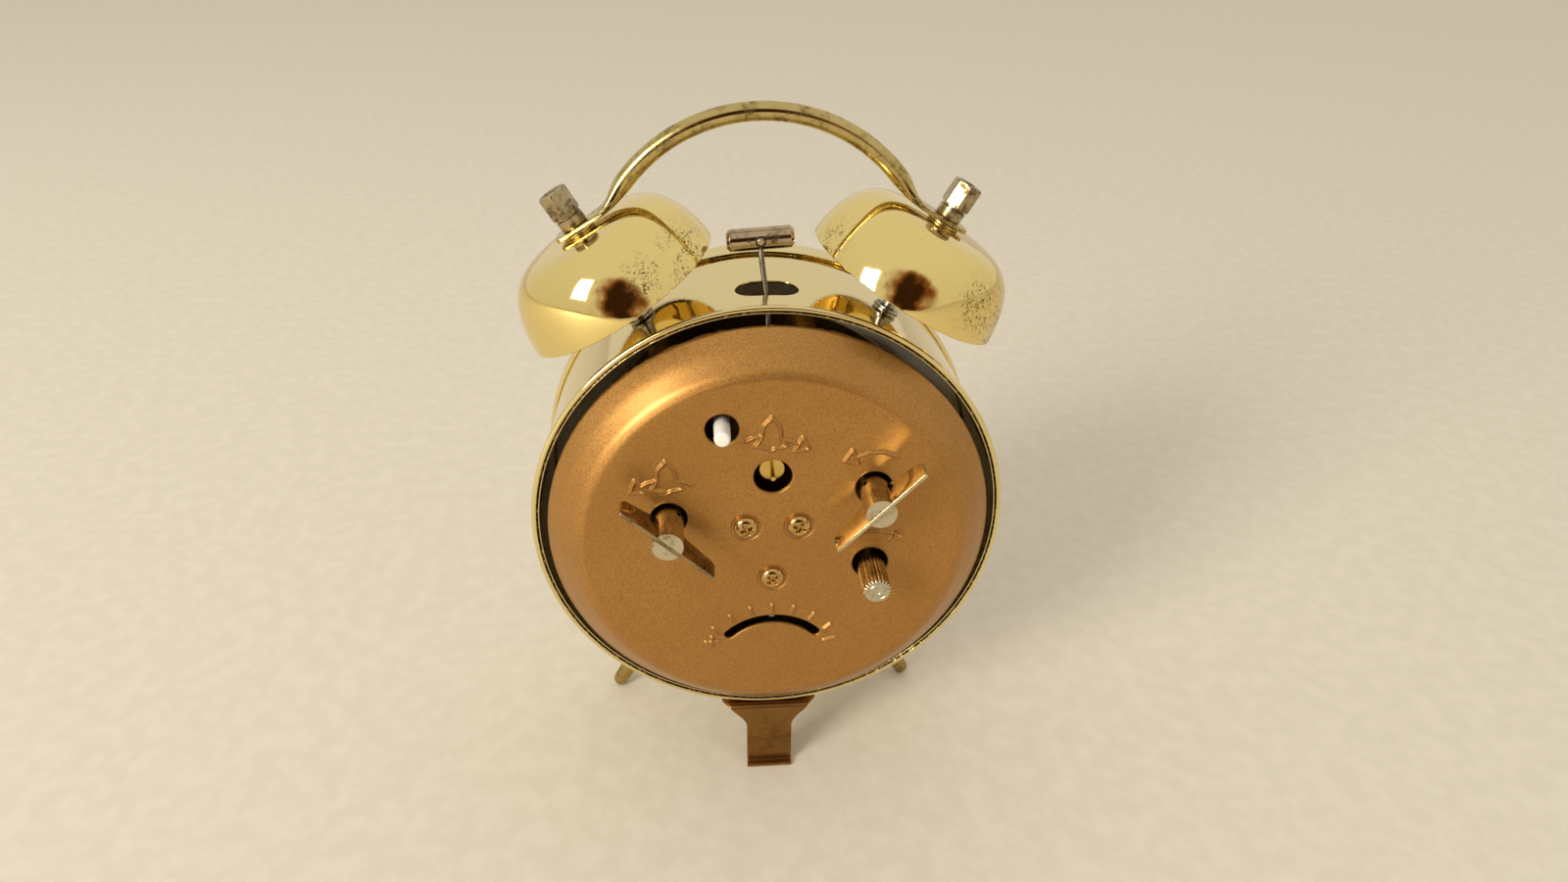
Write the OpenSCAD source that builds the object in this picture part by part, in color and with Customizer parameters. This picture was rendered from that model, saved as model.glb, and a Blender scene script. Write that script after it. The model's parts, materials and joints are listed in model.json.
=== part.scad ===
// Twin-bell wind-up alarm clock: case, bells, hammer, two-train movement, hands and winding keys.
// Millimetres, +Z up. The dial faces -Y and the rear cover faces +Y.
// The origin lies on the table, under the middle of the clock's box.

/* [Case] */
// Largest diameter, over the rolled rear edge of the drum
case_d = 106; // [104:1:130]
// Distance from the rolled rear edge to the front of the bezel
case_depth = 42; // [42:0.5:55]
// Sheet thickness of the drum
drum_wall = 0.6; // [0.4:0.1:0.8]
// Thickness of the rolled wire edge at the rear
rim_wire_d = 1.4; // [1.2:0.1:2]
// Height of the clock's axis above the table
axis_height = 72.3; // [70:0.1:95]
// Length of the hammer slot in the top of the drum
slot_length = 13.7; // [12:0.1:18]
// Width of the hammer slot
slot_width = 8.5; // [6:0.1:10]

/* [Front] */
// Diameter of the dial opening inside the bezel
dial_opening_d = 92.4; // [88:0.2:96]
// Thickness of the glass
glass_t = 1.8; // [1.2:0.1:2.4]
// Depth of the reflector ring, from the glass to the dial
reflector_depth = 5.2; // [4.8:0.1:7]
// Thickness of the dial plate
dial_t = 0.6; // [0.4:0.1:1]

/* [Rear cover] */
// Gap between the rolled edge and the cover
cover_gap = 2.4; // [1.5:0.1:4]
// Sheet thickness of the cover
cover_t = 0.6; // [0.5:0.1:0.9]
// Height of the cover's edge behind the rolled edge
cover_edge_y = 2.35; // [1:0.05:4]
// Height of the cover's flat middle behind the rolled edge
plateau_y = 10; // [9.5:0.1:14]
// Radius of the cover's flat middle
plateau_r = 41; // [38:0.5:44]
// Diameter of the holes around the winding and setting shafts
shaft_hole_d = 8; // [7.5:0.1:9]
// Radius of the regulator slot about the balance axis
regulator_slot_r = 13.9; // [12:0.1:15]
// Width of the regulator slot
regulator_slot_w = 1.7; // [1.4:0.1:2.4]
// Half angle of the regulator slot
regulator_half_angle = 45; // [35:1:50]

/* [Bells and handle] */
// Outer diameter of a bell at its mouth
bell_d = 45; // [40:0.2:50]
// Height of a bell
bell_height = 15.4; // [14:0.1:20]
// Wall thickness of a bell
bell_wall = 0.8; // [0.6:0.1:1.2]
// Gap between the drum and a bell's mouth
bell_gap = 7.2; // [5:0.1:9]
// Half the angle between the two bells' axes
bell_tilt = 30.8; // [30:0.1:36]
// Lean of the bells and the handle to one side, as assembled
top_lean = 0.5; // [-1:0.1:1]
// Distance of the bells in front of the rear edge
bell_set_back = 15.8; // [14:0.1:18]
// Diameter of the handle's tube
handle_tube_d = 3.9; // [3:0.1:5]
// Radius of the handle's arch
handle_r = 36.3; // [34:0.1:40]
// Width of the flattened ends of the handle
handle_tab_w = 6.4; // [6:0.1:8]
// Length of a bell nut
bell_nut_length = 8.2; // [7:0.1:11]
// Size of a bell nut across its flats
bell_nut_af = 5.8; // [5.5:0.1:7]

/* [Feet] */
// Angle between the vertical and a front foot
foot_splay = 29.5; // [25:0.5:33]
// Diameter of a front foot at its tip
foot_tip_d = 4; // [3.6:0.1:5]
// Distance of the front feet in front of the rear edge
foot_set_back = 30; // [28:0.5:32]
// Width of the rear foot's leg
rear_leg_w = 11.3; // [8:0.1:14]
// Width of the rear foot's plate
rear_foot_w = 23.6; // [18:0.1:26]
// Sheet thickness of the rear foot
rear_foot_t = 0.9; // [0.7:0.1:1.2]

/* [Keys and knobs] */
// Length of a winding key's wing
key_length = 25; // [20:0.5:28]
// Height of a winding key's wing at its middle
key_height = 7; // [6:0.1:8]
// Thickness of a winding key's wing
key_t = 0.85; // [0.7:0.05:1]
// Diameter of the winding shafts outside the movement
key_shaft_d = 6.5; // [5.5:0.1:7]
// Length of the winding shafts beyond the cover
key_reach = 10.4; // [9:0.1:14]
// Diameter of the setting knob
knob_d = 6.2; // [5.5:0.1:7]
// Number of knurls on the setting knob
knob_knurls = 22; // [18:1:26]
// Diameter of the alarm stop pin
stop_pin_d = 3.4; // [2.8:0.1:4]
// Travel of the alarm stop pin
stop_travel = 3; // [2:0.1:4]

/* [Movement] */
// Distance between the two plates
plate_gap = 23.6; // [23.6:0.1:24]
// Thickness of a movement plate
plate_t = 1.2; // [1:0.1:1.4]
// Radius of the movement plates
plate_r = 42; // [42:0.1:44]
// Radial clearance of a running fit
running_fit = 0.05; // [0.03:0.01:0.08]
// Radius of the balance wheel
balance_r = 7.5; // [6.5:0.1:7.7]

/* [Hidden] */
$fn = 64;
eps = 0.01; // overlap that joins two solids of one piece

// Case radii and the places of the front pieces along the axis, 0 at the rolled rear edge
rim_r = case_d / 2;
drum_r = rim_r - rim_wire_d / 2 - 0.3;
drum_r_in = drum_r - drum_wall;
bezel_front_y = -case_depth;
bezel_t = 2.9;
glass_front_y = bezel_front_y + bezel_t;
glass_back_y = glass_front_y + glass_t;
dial_front_y = glass_back_y + reflector_depth;
dial_back_y = dial_front_y + dial_t;
dial_fit = 0.4;

// Movement planes along the axis
motion_room = 5.4;
front_plate_y = dial_back_y + motion_room;      // dial side of the front plate
front_inner_y = front_plate_y + plate_t;        // inner side of the front plate
rear_inner_y = front_inner_y + plate_gap;       // inner side of the rear plate
rear_plate_y = rear_inner_y + plate_t;          // outer side of the rear plate
cover_inner_y = plateau_y - cover_t;
pivot_front_y = front_inner_y - 0.8;
pivot_rear_y = rear_inner_y + 0.8;
function behind(d) = front_inner_y + d;   // d is measured from the front plate's inner side

// The clock's box along Y, so that the origin lies under its middle
knob_end_y = plateau_y + key_reach + 0.3;
rim_y = -(bezel_front_y + knob_end_y) / 2;

// Arbors, as [x, z] from the clock's axis
time_arbor = [-21.6, 15];
alarm_arbor = [22.2, 8.7];
set_arbor = [-21.7, -4.5];
alarm_set_arbor = [0, 18.45];
stop_pin_at = [10.5, 30];
hammer_pivot = [-0.9, 30];
balance_arbor = [0, -33.2];
cover_screw_at = [[5.75, 5.85], [-5.75, 5.85], [0, -7.7]];
pillar_at = [[-33, -17], [30, -20], [-10, 36.5], [24, 31]];
dial_pin_at = [[25.5, 25.5], [-26.5, 27], [25.5, -28], [-25.5, -25.5]];

// Tooth counts: wheel, then the pinion that it drives
great_teeth = 68;
second_pinion_teeth = 10;
second_teeth = 64;
third_pinion_teeth = 8;
third_teeth = 60;
fourth_pinion_teeth = 8;
fourth_teeth = 64;
escape_pinion_teeth = 8;
alarm_great_teeth = 60;
alarm_pinion_teeth = 10;
set_teeth = 56;
set_pinion_teeth = 24;
cannon_teeth = 12;
minute_teeth = 36;
minute_pinion_teeth = 10;
hour_teeth = 40;
alarm_set_teeth = 14;
alarm_teeth = 60;

// Gear modules: the first and last follow from fixed arbors, the others set the arbors
great_module = gear_module(time_arbor, set_arbor, great_teeth, second_pinion_teeth);
second_module = 0.38;
third_module = 0.35;
fourth_module = 0.3;
alarm_module = 0.5;
set_module = gear_module(set_arbor, [0, 0], set_teeth, set_pinion_teeth);
minute_distance = 9.6;
cannon_module = 2 * minute_distance / (cannon_teeth + minute_teeth);
hour_module = 2 * minute_distance / (minute_pinion_teeth + hour_teeth);
alarm_set_module = gear_module(alarm_set_arbor, [0, 0], alarm_set_teeth, alarm_teeth);

second_angle = -20;
third_angle = -25;
fourth_angle = -42;
alarm_train_angle = 125;
third_arbor = set_arbor + gear_reach(second_module, second_teeth, third_pinion_teeth, second_angle);
fourth_arbor = third_arbor + gear_reach(third_module, third_teeth, fourth_pinion_teeth, third_angle);
escape_arbor = fourth_arbor + gear_reach(fourth_module, fourth_teeth, escape_pinion_teeth, fourth_angle);
alarm_escape_arbor = alarm_arbor
    + gear_reach(alarm_module, alarm_great_teeth, alarm_pinion_teeth, alarm_train_angle);
minute_arbor = [0, -minute_distance];
escape_to_pallet = 6.9;
pallet_arbor = escape_arbor
    + escape_to_pallet * (balance_arbor - escape_arbor) / norm(balance_arbor - escape_arbor);
escape_r = 5.4;
pallet_pin = [2.2, 4];   // from the pallet arbor: towards the escape wheel, and to each side
alarm_escape_r = 6.2;
thin_arbor_r = 0.7;
winding_arbor_r = 2.5;
set_arbor_r = 1.1;
alarm_set_r = 0.8;

// Bells, as distances from the clock's axis along the bell's own axis
bell_mouth = drum_r + bell_gap;
bell_top = bell_mouth + bell_height;
bell_spacer_t = 0.6;
tab_t = 1;
bell_bore_r = 1.3;
bell_y = -bell_set_back;
bell_bulge = [5.5, 1.5];   // 2 is an ellipse: the first squares the shoulder, the second straightens it
bell_steps = 16;
tab_length = 10.5;
tab_under_arch = 1.8;
arch_end_h = bell_top + bell_spacer_t + handle_tube_d / 2 - 0.2;
arch_end = [arch_end_h * sin(bell_tilt) - tab_length * cos(bell_tilt),
    arch_end_h * cos(bell_tilt) + tab_length * sin(bell_tilt)];
handle_centre_z = arch_end[1] - sqrt(handle_r * handle_r - arch_end[0] * arch_end[0]);
handle_arch_from = atan2(arch_end[1] - handle_centre_z, arch_end[0]);

// Hands
hand_t = 0.35;
shown_hour = 10;
shown_minute = 10;
alarm_hour = 6;

// Hammer
slot_y = -12.5;
hammer_head_at = [1.4, slot_y, drum_r + 10.8];
hammer_head_d = 4.7;
hammer_head_length = 14.1;
hammer_wire_d = 1.15;
hammer_hub_y = behind(21.7);

// Feet
foot_length = (axis_height - foot_tip_d / 2) / cos(foot_splay) - drum_r;
foot_fit_r = 1.5;
rivet_x = 7;
rivet_y = -8;
rear_foot_front_y = -13;
rear_leg_y = 1.2;

// Winding shafts and keys
key_end_y = plateau_y + key_reach;
time_key_angle = 134;
alarm_key_angle = 42.5;
knob_start_y = plateau_y + 1.2;

function gear_module(a, b, teeth_a, teeth_b) = 2 * norm(b - a) / (teeth_a + teeth_b);
function gear_reach(m, teeth_a, teeth_b, angle) =
    m * (teeth_a + teeth_b) / 2 * [cos(angle), sin(angle)];
function direction(a, b) = atan2(b[1] - a[1], b[0] - a[0]);
function polar(r, angle) = [r * cos(angle), r * sin(angle)];

// Straight-sided teeth: narrow enough that meshing teeth never bind
tooth_share = [0.26, 0.19, 0.1, 0.1];
function gear_outline(teeth, m, first) = [
    for (i = [0 : teeth - 1], k = [0 : 3])
        let (
            pitch = 360 / teeth,
            side = (k == 0 || k == 3) ? tooth_share[0] : tooth_share[2],
            sign = k < 2 ? -1 : 1,
            r = (k == 0 || k == 3) ? m * teeth / 2 - 1.2 * m : m * teeth / 2 + 0.8 * m
        )
        polar(r, first + i * pitch + sign * side * pitch)
];

// Pointed one-way teeth, for ratchets and escape wheels
function ratchet_outline(teeth, r_tip, r_root, first) = [
    for (i = [0 : teeth - 1], k = [0 : 1])
        polar(k == 0 ? r_tip : r_root, first + (i + (k == 0 ? 0 : 0.12)) * 360 / teeth)
];

// A coiled strip: out along one face and back along the other
function spiral_side(r_start, r_end, turns, steps) = [
    for (i = [0 : turns * steps])
        polar(r_start + (r_end - r_start) * i / (turns * steps), 360 * i / steps)
];
function reversed(list) = [for (i = [len(list) - 1 : -1 : 0]) list[i]];
function spiral_outline(r_start, r_end, turns, steps, strip) = concat(
    spiral_side(r_start, r_end, turns, steps),
    reversed(spiral_side(r_start + strip, r_end + strip, turns, steps))
);

// Outer profile of a bell from mouth to top, as [radius, distance along its axis]
function bell_side(r, h, z) = [
    for (i = [0 : bell_steps])
        let (a = 90 * i / bell_steps)
        [r * pow(cos(a), 2 / bell_bulge[0]), z + h * pow(sin(a), 2 / bell_bulge[1])]
];

// Everything is drawn about the clock's axis, with y = 0 at the rolled rear edge
module at_case() translate([0, rim_y, axis_height]) children();

// A flat shape in the XZ plane whose rear face is at y_rear
module slab(at, y_rear, h) translate([at[0], y_rear, at[1]]) rotate([90, 0, 0])
    linear_extrude(h) children();

// A cylinder along Y from y_front to y_rear
module rod(at, y_front, y_rear, r) translate([at[0], y_rear, at[1]]) rotate([90, 0, 0])
    cylinder(h = y_rear - y_front, r = r);

// A body of revolution about the clock's axis from an outline of [radius, y] points
module turned() rotate([-90, 0, 0]) rotate_extrude($fn = 128) children();

// Local +Z along a bell's axis (side 1 is +X) or along a front foot
module at_bell(side) translate([0, bell_y, 0]) rotate([0, top_lean + side * bell_tilt, 0]) children();
module at_foot(side) translate([0, -foot_set_back, 0]) rotate([0, side * (180 - foot_splay), 0])
    children();

module gear(teeth, m, h, tooth_at) linear_extrude(h) polygon(gear_outline(teeth, m, tooth_at));

// A wheel with a rim, round windows and a hub
module windowed(r_inner, r_outer, count, turn) {
    difference() {
        children();
        if (r_outer - r_inner > 1.5)
            for (i = [0 : count - 1])
                rotate(turn + i * 360 / count)
                    translate([(r_inner + r_outer) / 2, 0]) circle(r = (r_outer - r_inner) / 2.4);
    }
}

// A toothed wheel in place: the rear face at y_rear, windows between the hub and the rim
module wheel_at(at, y_rear, h, teeth, m, tooth_at, hub_r, windows = 5) {
    slab(at, y_rear, h)
        windowed(hub_r, m * teeth / 2 - 2.2 * m, windows, tooth_at)
            polygon(gear_outline(teeth, m, tooth_at));
}

module pinion_at(at, y_rear, h, teeth, m, tooth_at)
    slab(at, y_rear, h) polygon(gear_outline(teeth, m, tooth_at));

// ---- case ----

// Room for a front foot's nut in the drum's ledge and in the edge of the dial
module foot_nut_notch(side) at_foot(side) translate([0, 0, drum_r_in - 3.8]) cylinder(h = 3.6, r = 3.5);

module case_drum() color("gold") at_case() difference() {
    union() {
        turned() polygon([
            [drum_r_in, glass_front_y], [drum_r, glass_front_y], [drum_r, 0], [drum_r_in, 0],
            [drum_r_in, dial_back_y + 1], [drum_r_in - 1.6, dial_back_y + 1],
            [drum_r_in - 1.6, dial_back_y], [drum_r_in, dial_back_y]
        ]);
        turned() translate([rim_r - rim_wire_d / 2, 0]) circle(d = rim_wire_d, $fn = 32);
    }
    for (side = [-1, 1]) {
        at_bell(side) cylinder(h = drum_r + 2, r = bell_bore_r + running_fit);
        at_foot(side) cylinder(h = drum_r + 2, r = foot_fit_r + running_fit);
        foot_nut_notch(side);
        translate([side * rivet_x, rivet_y, -drum_r - 2]) cylinder(h = 6, r = 1 + running_fit);
    }
    translate([0, slot_y, drum_r - 5]) {
        translate([-(slot_length - slot_width) / 2, -slot_width / 2, 0])
            cube([slot_length - slot_width, slot_width, 8]);
        for (side = [-1, 1])
            translate([side * (slot_length - slot_width) / 2, 0, 0]) cylinder(h = 8, d = slot_width);
    }
}

module front_bezel() color("gold") at_case() turned() polygon([
    [drum_r + running_fit, glass_front_y], [drum_r + running_fit, bezel_front_y + 8],
    [rim_r - 0.2, bezel_front_y + 8], [rim_r, bezel_front_y + 7], [rim_r, bezel_front_y + 2.2],
    [rim_r - 0.8, bezel_front_y + 0.8], [rim_r - 2.4, bezel_front_y],
    [rim_r - 4.6, bezel_front_y + 0.5], [dial_opening_d / 2, bezel_front_y + 2.3],
    [dial_opening_d / 2, glass_front_y]
]);

module dial_glass() color([0.85, 0.92, 0.92, 0.4]) at_case()
    rod([0, 0], glass_front_y, glass_back_y, drum_r_in - dial_fit, $fn = 128);

module reflector_ring() color("khaki") at_case() turned() polygon([
    [drum_r_in - dial_fit, glass_back_y], [dial_opening_d / 2, glass_back_y],
    [dial_opening_d / 2 - 1.4, dial_front_y], [dial_opening_d / 2 - 0.8, dial_front_y],
    [dial_opening_d / 2 + 0.6, glass_back_y + 0.6], [drum_r_in - dial_fit, glass_back_y + 0.6]
]);

module dial() color("ivory") at_case() difference() {
    rod([0, 0], dial_front_y, dial_back_y, drum_r_in - dial_fit, $fn = 128);
    for (side = [-1, 1]) foot_nut_notch(side);
    rod([0, 0], dial_front_y - 1, dial_back_y + 1, 3.4);
}

module dial_pins() color("tan") at_case()
    for (at = dial_pin_at) rod(at, dial_back_y, front_inner_y + 0.8, 1);

module rear_cover() color("darkgoldenrod") at_case() difference() {
    turned() polygon([
        [rim_r - rim_wire_d - cover_gap, cover_edge_y - 0.8], [rim_r - rim_wire_d - cover_gap, cover_edge_y],
        [plateau_r + 5.4, cover_edge_y + 3.4], [plateau_r + 1.6, plateau_y - 1],
        [plateau_r, plateau_y - 0.1], [plateau_r - 1.4, plateau_y], [0, plateau_y],
        [0, cover_inner_y], [plateau_r - 1.6, cover_inner_y], [plateau_r - 0.2, cover_inner_y - 0.1],
        [plateau_r + 1.2, cover_inner_y - 0.9], [plateau_r + 4.9, cover_edge_y + 2.9],
        [rim_r - rim_wire_d - cover_gap - cover_t, cover_edge_y - 0.3],
        [rim_r - rim_wire_d - cover_gap - cover_t, cover_edge_y - 0.8]
    ]);
    for (at = [time_arbor, alarm_arbor, set_arbor])
        rod(at, 0, plateau_y + 1, shaft_hole_d / 2);
    rod(alarm_set_arbor, 0, plateau_y + 1, shaft_hole_d / 2 + 0.1);
    rod(stop_pin_at, 0, plateau_y + 1, stop_pin_d / 2 + 1.85);
    for (at = cover_screw_at) {
        rod(at, 0, plateau_y + 1, 1.5);
        rod(at, plateau_y - 0.25, plateau_y + 1, 3.6);
    }
    translate([balance_arbor[0], plateau_y + 1, balance_arbor[1]]) rotate([90, 0, 0])
        rotate(90 - regulator_half_angle)
            rotate_extrude(angle = 2 * regulator_half_angle)
                translate([regulator_slot_r - regulator_slot_w / 2, 0]) square([regulator_slot_w, 3]);
    for (side = [-1, 1])
        rod(balance_arbor + polar(regulator_slot_r, 90 + side * regulator_half_angle),
            0, plateau_y + 1, regulator_slot_w / 2 + 0.1);
}

// Pan heads with a crossed recess
module cover_screws() color("khaki") at_case() for (at = cover_screw_at) difference() {
    union() {
        rod(at, plateau_y - 0.25, plateau_y + 1.1, 2.7);
        rod(at, cover_inner_y - 4, plateau_y, 1.2);
    }
    for (turn = [0, 90])
        slab(at, plateau_y + 1.2, 1) rotate(turn + 20) square([2.8, 0.6], center = true);
}

module cover_posts() color("tan") at_case() for (at = cover_screw_at) difference() {
    rod(at, rear_plate_y, cover_inner_y, 2.2);
    rod(at, cover_inner_y - 6, cover_inner_y + 1, 1.2);
}

module rear_foot() color("saddlebrown") at_case() {
    plate_top = -rim_r - 0.1;
    difference() {
        union() {
            translate([-rear_foot_w / 2, rear_foot_front_y, plate_top - rear_foot_t])
                cube([rear_foot_w, rear_leg_y - rear_foot_front_y + rear_foot_t, rear_foot_t]);
            translate([-rivet_x - 3, rivet_y - 3, plate_top - eps])
                cube([2 * rivet_x + 6, 6, rim_wire_d / 2 + 0.3]);
        }
        for (side = [-1, 1])
            translate([side * rivet_x, rivet_y, plate_top - 2]) cylinder(h = 6, r = 1 + running_fit);
        turned() square([drum_r, 2 * rivet_y * -1 + 4]);
        translate([0, 2 * rivet_y, 0]) turned() square([drum_r, -2 * rivet_y - 2]);
    }
    translate([0, rear_leg_y, 0]) rotate([90, 0, 180]) linear_extrude(rear_foot_t) polygon([
        [-rear_foot_w / 2, plate_top - rear_foot_t + eps], [-rear_foot_w / 2, plate_top - 1.8],
        [-rear_leg_w / 2 - 1, plate_top - 4.6], [-rear_leg_w / 2, plate_top - 7],
        [-rear_leg_w / 2, -axis_height], [rear_leg_w / 2, -axis_height],
        [rear_leg_w / 2, plate_top - 7], [rear_leg_w / 2 + 1, plate_top - 4.6],
        [rear_foot_w / 2, plate_top - 1.8], [rear_foot_w / 2, plate_top - rear_foot_t + eps]
    ]);
    translate([-rear_leg_w / 2, rear_leg_y, -axis_height]) cube([rear_leg_w, 2.4, rear_foot_t]);
}

module foot_rivets() color("tan") at_case() for (side = [-1, 1])
    translate([side * rivet_x, rivet_y, 0]) {
        translate([0, 0, -rim_r - 0.1 - rear_foot_t - 0.8]) cylinder(h = 0.8, r = 1.9);
        translate([0, 0, -rim_r - 0.1 - rear_foot_t - eps]) cylinder(h = 4.2, r = 1);
        translate([0, 0, -drum_r_in + 0.9]) cylinder(h = 0.8, r = 1.7);
    }

// A turned foot: collar, tapered shank and round tip, with a threaded end through the drum
module front_foot(side) at_case() at_foot(side) {
    translate([0, 0, drum_r_in - 3.4]) cylinder(h = 4.4, r = foot_fit_r);
    translate([0, 0, drum_r + 0.25]) cylinder(h = 1.6, r = foot_tip_d / 2 + 1.3);
    translate([0, 0, drum_r + 1.8])
        cylinder(h = foot_length - 1.8, r1 = foot_tip_d / 2 + 0.8, r2 = foot_tip_d / 2);
    translate([0, 0, drum_r + foot_length]) sphere(d = foot_tip_d);
}

module left_front_foot() color("khaki") front_foot(1);
module right_front_foot() color("khaki") front_foot(-1);

module hex_nut(af, bore_r, h) difference() {
    cylinder(h = h, r = af / 2 / cos(30), $fn = 6);
    translate([0, 0, -1]) cylinder(h = h + 2, r = bore_r, $fn = 32);
}

module foot_nuts() color("silver") at_case() for (side = [-1, 1])
    at_foot(side) translate([0, 0, drum_r_in - 2.6]) hex_nut(5.5, foot_fit_r, 2.2);

// ---- bells, handle and hammer ----

module bell(side) at_case() at_bell(side) difference() {
    rotate_extrude($fn = 96) polygon(concat(
        bell_side(bell_d / 2, bell_height, bell_mouth),
        reversed(bell_side(bell_d / 2 - bell_wall, bell_height - bell_wall, bell_mouth))
    ));
    cylinder(h = bell_top + 2, r = bell_bore_r);
}

module left_bell() color("gold") bell(1);
module right_bell() color("gold") bell(-1);

module bell_posts() color("silver") at_case() for (side = [-1, 1]) at_bell(side) {
    translate([0, 0, drum_r_in - 3.6]) cylinder(h = drum_wall + 3.6 + 1.4, r = bell_bore_r);
    translate([0, 0, drum_r + 1.3]) cylinder(h = bell_top - bell_wall - drum_r - 1.3, r = 1.6);
    translate([0, 0, bell_top - bell_wall - eps])
        cylinder(h = bell_wall + bell_spacer_t + tab_t + bell_nut_length - 2, r = bell_bore_r);
}

module post_washers() color("silver") at_case() for (side = [-1, 1]) at_bell(side) difference() {
    translate([0, 0, drum_r + 0.3]) cylinder(h = 1, r = 3.1);
    cylinder(h = drum_r + 3, r = bell_bore_r);
}

module post_nuts() color("silver") at_case() for (side = [-1, 1])
    at_bell(side) translate([0, 0, drum_r_in - 2.8]) hex_nut(5.5, bell_bore_r, 2.4);

module bell_spacers() color("khaki") at_case() for (side = [-1, 1]) at_bell(side) difference() {
    translate([0, 0, bell_top]) cylinder(h = bell_spacer_t, r = 3.6);
    cylinder(h = bell_top + 3, r = bell_bore_r);
}

// Hexagon above a round collar
module bell_nuts() color("tan") at_case() for (side = [-1, 1]) at_bell(side)
    translate([0, 0, bell_top + bell_spacer_t + tab_t]) difference() {
        union() {
            cylinder(h = bell_nut_length / 3 + eps, r = bell_nut_af / 2);
            translate([0, 0, bell_nut_length / 3])
                cylinder(h = bell_nut_length * 2 / 3, r = bell_nut_af / 2 / cos(30), $fn = 6);
        }
        translate([0, 0, -1]) cylinder(h = bell_nut_length - 1, r = bell_bore_r, $fn = 32);
    }

module handle() color("gold") at_case() {
    translate([0, bell_y, 0]) rotate([0, top_lean, 0]) translate([0, 0, handle_centre_z])
        rotate([90, 0, 0]) rotate(handle_arch_from)
        rotate_extrude(angle = 180 - 2 * handle_arch_from, $fn = 96)
            translate([handle_r, 0]) circle(d = handle_tube_d, $fn = 32);
    for (side = [-1, 1]) at_bell(side) difference() {
        union() {
            translate([0, 0, bell_top + bell_spacer_t]) cylinder(h = tab_t, d = handle_tab_w);
            translate([side > 0 ? -tab_length - tab_under_arch : 0, -handle_tab_w / 2,
                bell_top + bell_spacer_t])
                cube([tab_length + tab_under_arch, handle_tab_w, tab_t]);
        }
        cylinder(h = bell_top + 5, r = bell_bore_r);
    }
}

function hammer_tilt() = atan2(hammer_head_at[0] - hammer_pivot[0], hammer_head_at[2] - hammer_pivot[1]);
function hammer_lean() = atan2(
    hammer_hub_y - hammer_head_at[1],
    norm([hammer_head_at[0] - hammer_pivot[0], hammer_head_at[2] - hammer_pivot[1]]));
function hammer_reach() = norm(hammer_head_at - [hammer_pivot[0], hammer_hub_y, hammer_pivot[1]]);

module hammer_head() color("tan") at_case() translate(hammer_head_at) rotate([0, hammer_tilt(), 0])
    difference() {
        translate([-hammer_head_length / 2, 0, 0]) rotate([0, 90, 0]) {
            cylinder(h = 0.7, r1 = hammer_head_d / 2 - 0.7, r2 = hammer_head_d / 2);
            translate([0, 0, 0.7 - eps])
                cylinder(h = hammer_head_length - 1.4 + 2 * eps, d = hammer_head_d);
            translate([0, 0, hammer_head_length - 0.7])
                cylinder(h = 0.7, r1 = hammer_head_d / 2, r2 = hammer_head_d / 2 - 0.7);
        }
        rotate([hammer_lean(), 0, 0]) translate([0, 0, -hammer_head_d])
            cylinder(h = hammer_head_d, d = hammer_wire_d);
    }

module hammer_wire() color("silver") at_case()
    translate([hammer_pivot[0], hammer_hub_y, hammer_pivot[1]])
        rotate([0, hammer_tilt(), 0]) rotate([hammer_lean(), 0, 0])
            translate([0, 0, 1.6]) cylinder(h = hammer_reach() - 1.6, d = hammer_wire_d);

// Arbor, hub and the two-armed verge that the alarm escape wheel knocks
module hammer_arbor() color("silver") at_case() {
    rod(hammer_pivot, pivot_front_y, pivot_rear_y, thin_arbor_r);
    difference() {
        rod(hammer_pivot, hammer_hub_y - 1.6, hammer_hub_y + 1.4, 2.2);
        translate([hammer_pivot[0], hammer_hub_y, hammer_pivot[1]])
            rotate([0, hammer_tilt(), 0]) rotate([hammer_lean(), 0, 0])
                translate([0, 0, 1.6]) cylinder(h = 5, d = hammer_wire_d);
    }
    slab(hammer_pivot, behind(16.9), 1) rotate(direction(hammer_pivot, alarm_escape_arbor)) difference() {
        union() {
            circle(r = 1.8);
            polygon([[0, 1.4], [7.2, 5.6], [8.6, 5], [8.2, 4.2], [1.4, 0],
                [8.2, -4.2], [8.6, -5], [7.2, -5.6], [0, -1.4]]);
        }
        circle(r = thin_arbor_r - eps);
    }
}

// ---- plates ----

module arbor_holes(y_front, y_rear) {
    for (at = [third_arbor, fourth_arbor, escape_arbor, pallet_arbor, balance_arbor,
        alarm_escape_arbor, hammer_pivot])
        rod(at, y_front, y_rear, thin_arbor_r + running_fit);
    for (at = [time_arbor, alarm_arbor]) rod(at, y_front, y_rear, winding_arbor_r + running_fit);
    rod(set_arbor, y_front, y_rear, set_arbor_r + running_fit);
    rod(alarm_set_arbor, y_front, y_rear, alarm_set_r + running_fit);
}

// The front plate carries the riveted centre post and the minute wheel's stud
module front_plate() color("khaki") at_case() {
    difference() {
        rod([0, 0], front_plate_y, front_inner_y, plate_r);
        arbor_holes(front_plate_y - 1, front_inner_y + 1);
        for (at = dial_pin_at) rod(at, front_plate_y - 1, front_inner_y + 1, 1);
    }
    rod([0, 0], dial_front_y - 3.2, front_plate_y + eps, 1);
    rod(minute_arbor, front_plate_y - 3.8, front_plate_y + eps, 0.8);
}

module rear_plate() color("khaki") at_case() difference() {
    rod([0, 0], rear_inner_y, rear_plate_y, plate_r);
    arbor_holes(rear_inner_y - 1, rear_plate_y + 1);
    rod(stop_pin_at, rear_inner_y - 1, rear_plate_y + 1, stop_pin_d / 2 + running_fit);
    for (at = pillar_at) rod(at, rear_inner_y - 1, rear_plate_y + 1, 1.2);
}

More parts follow.
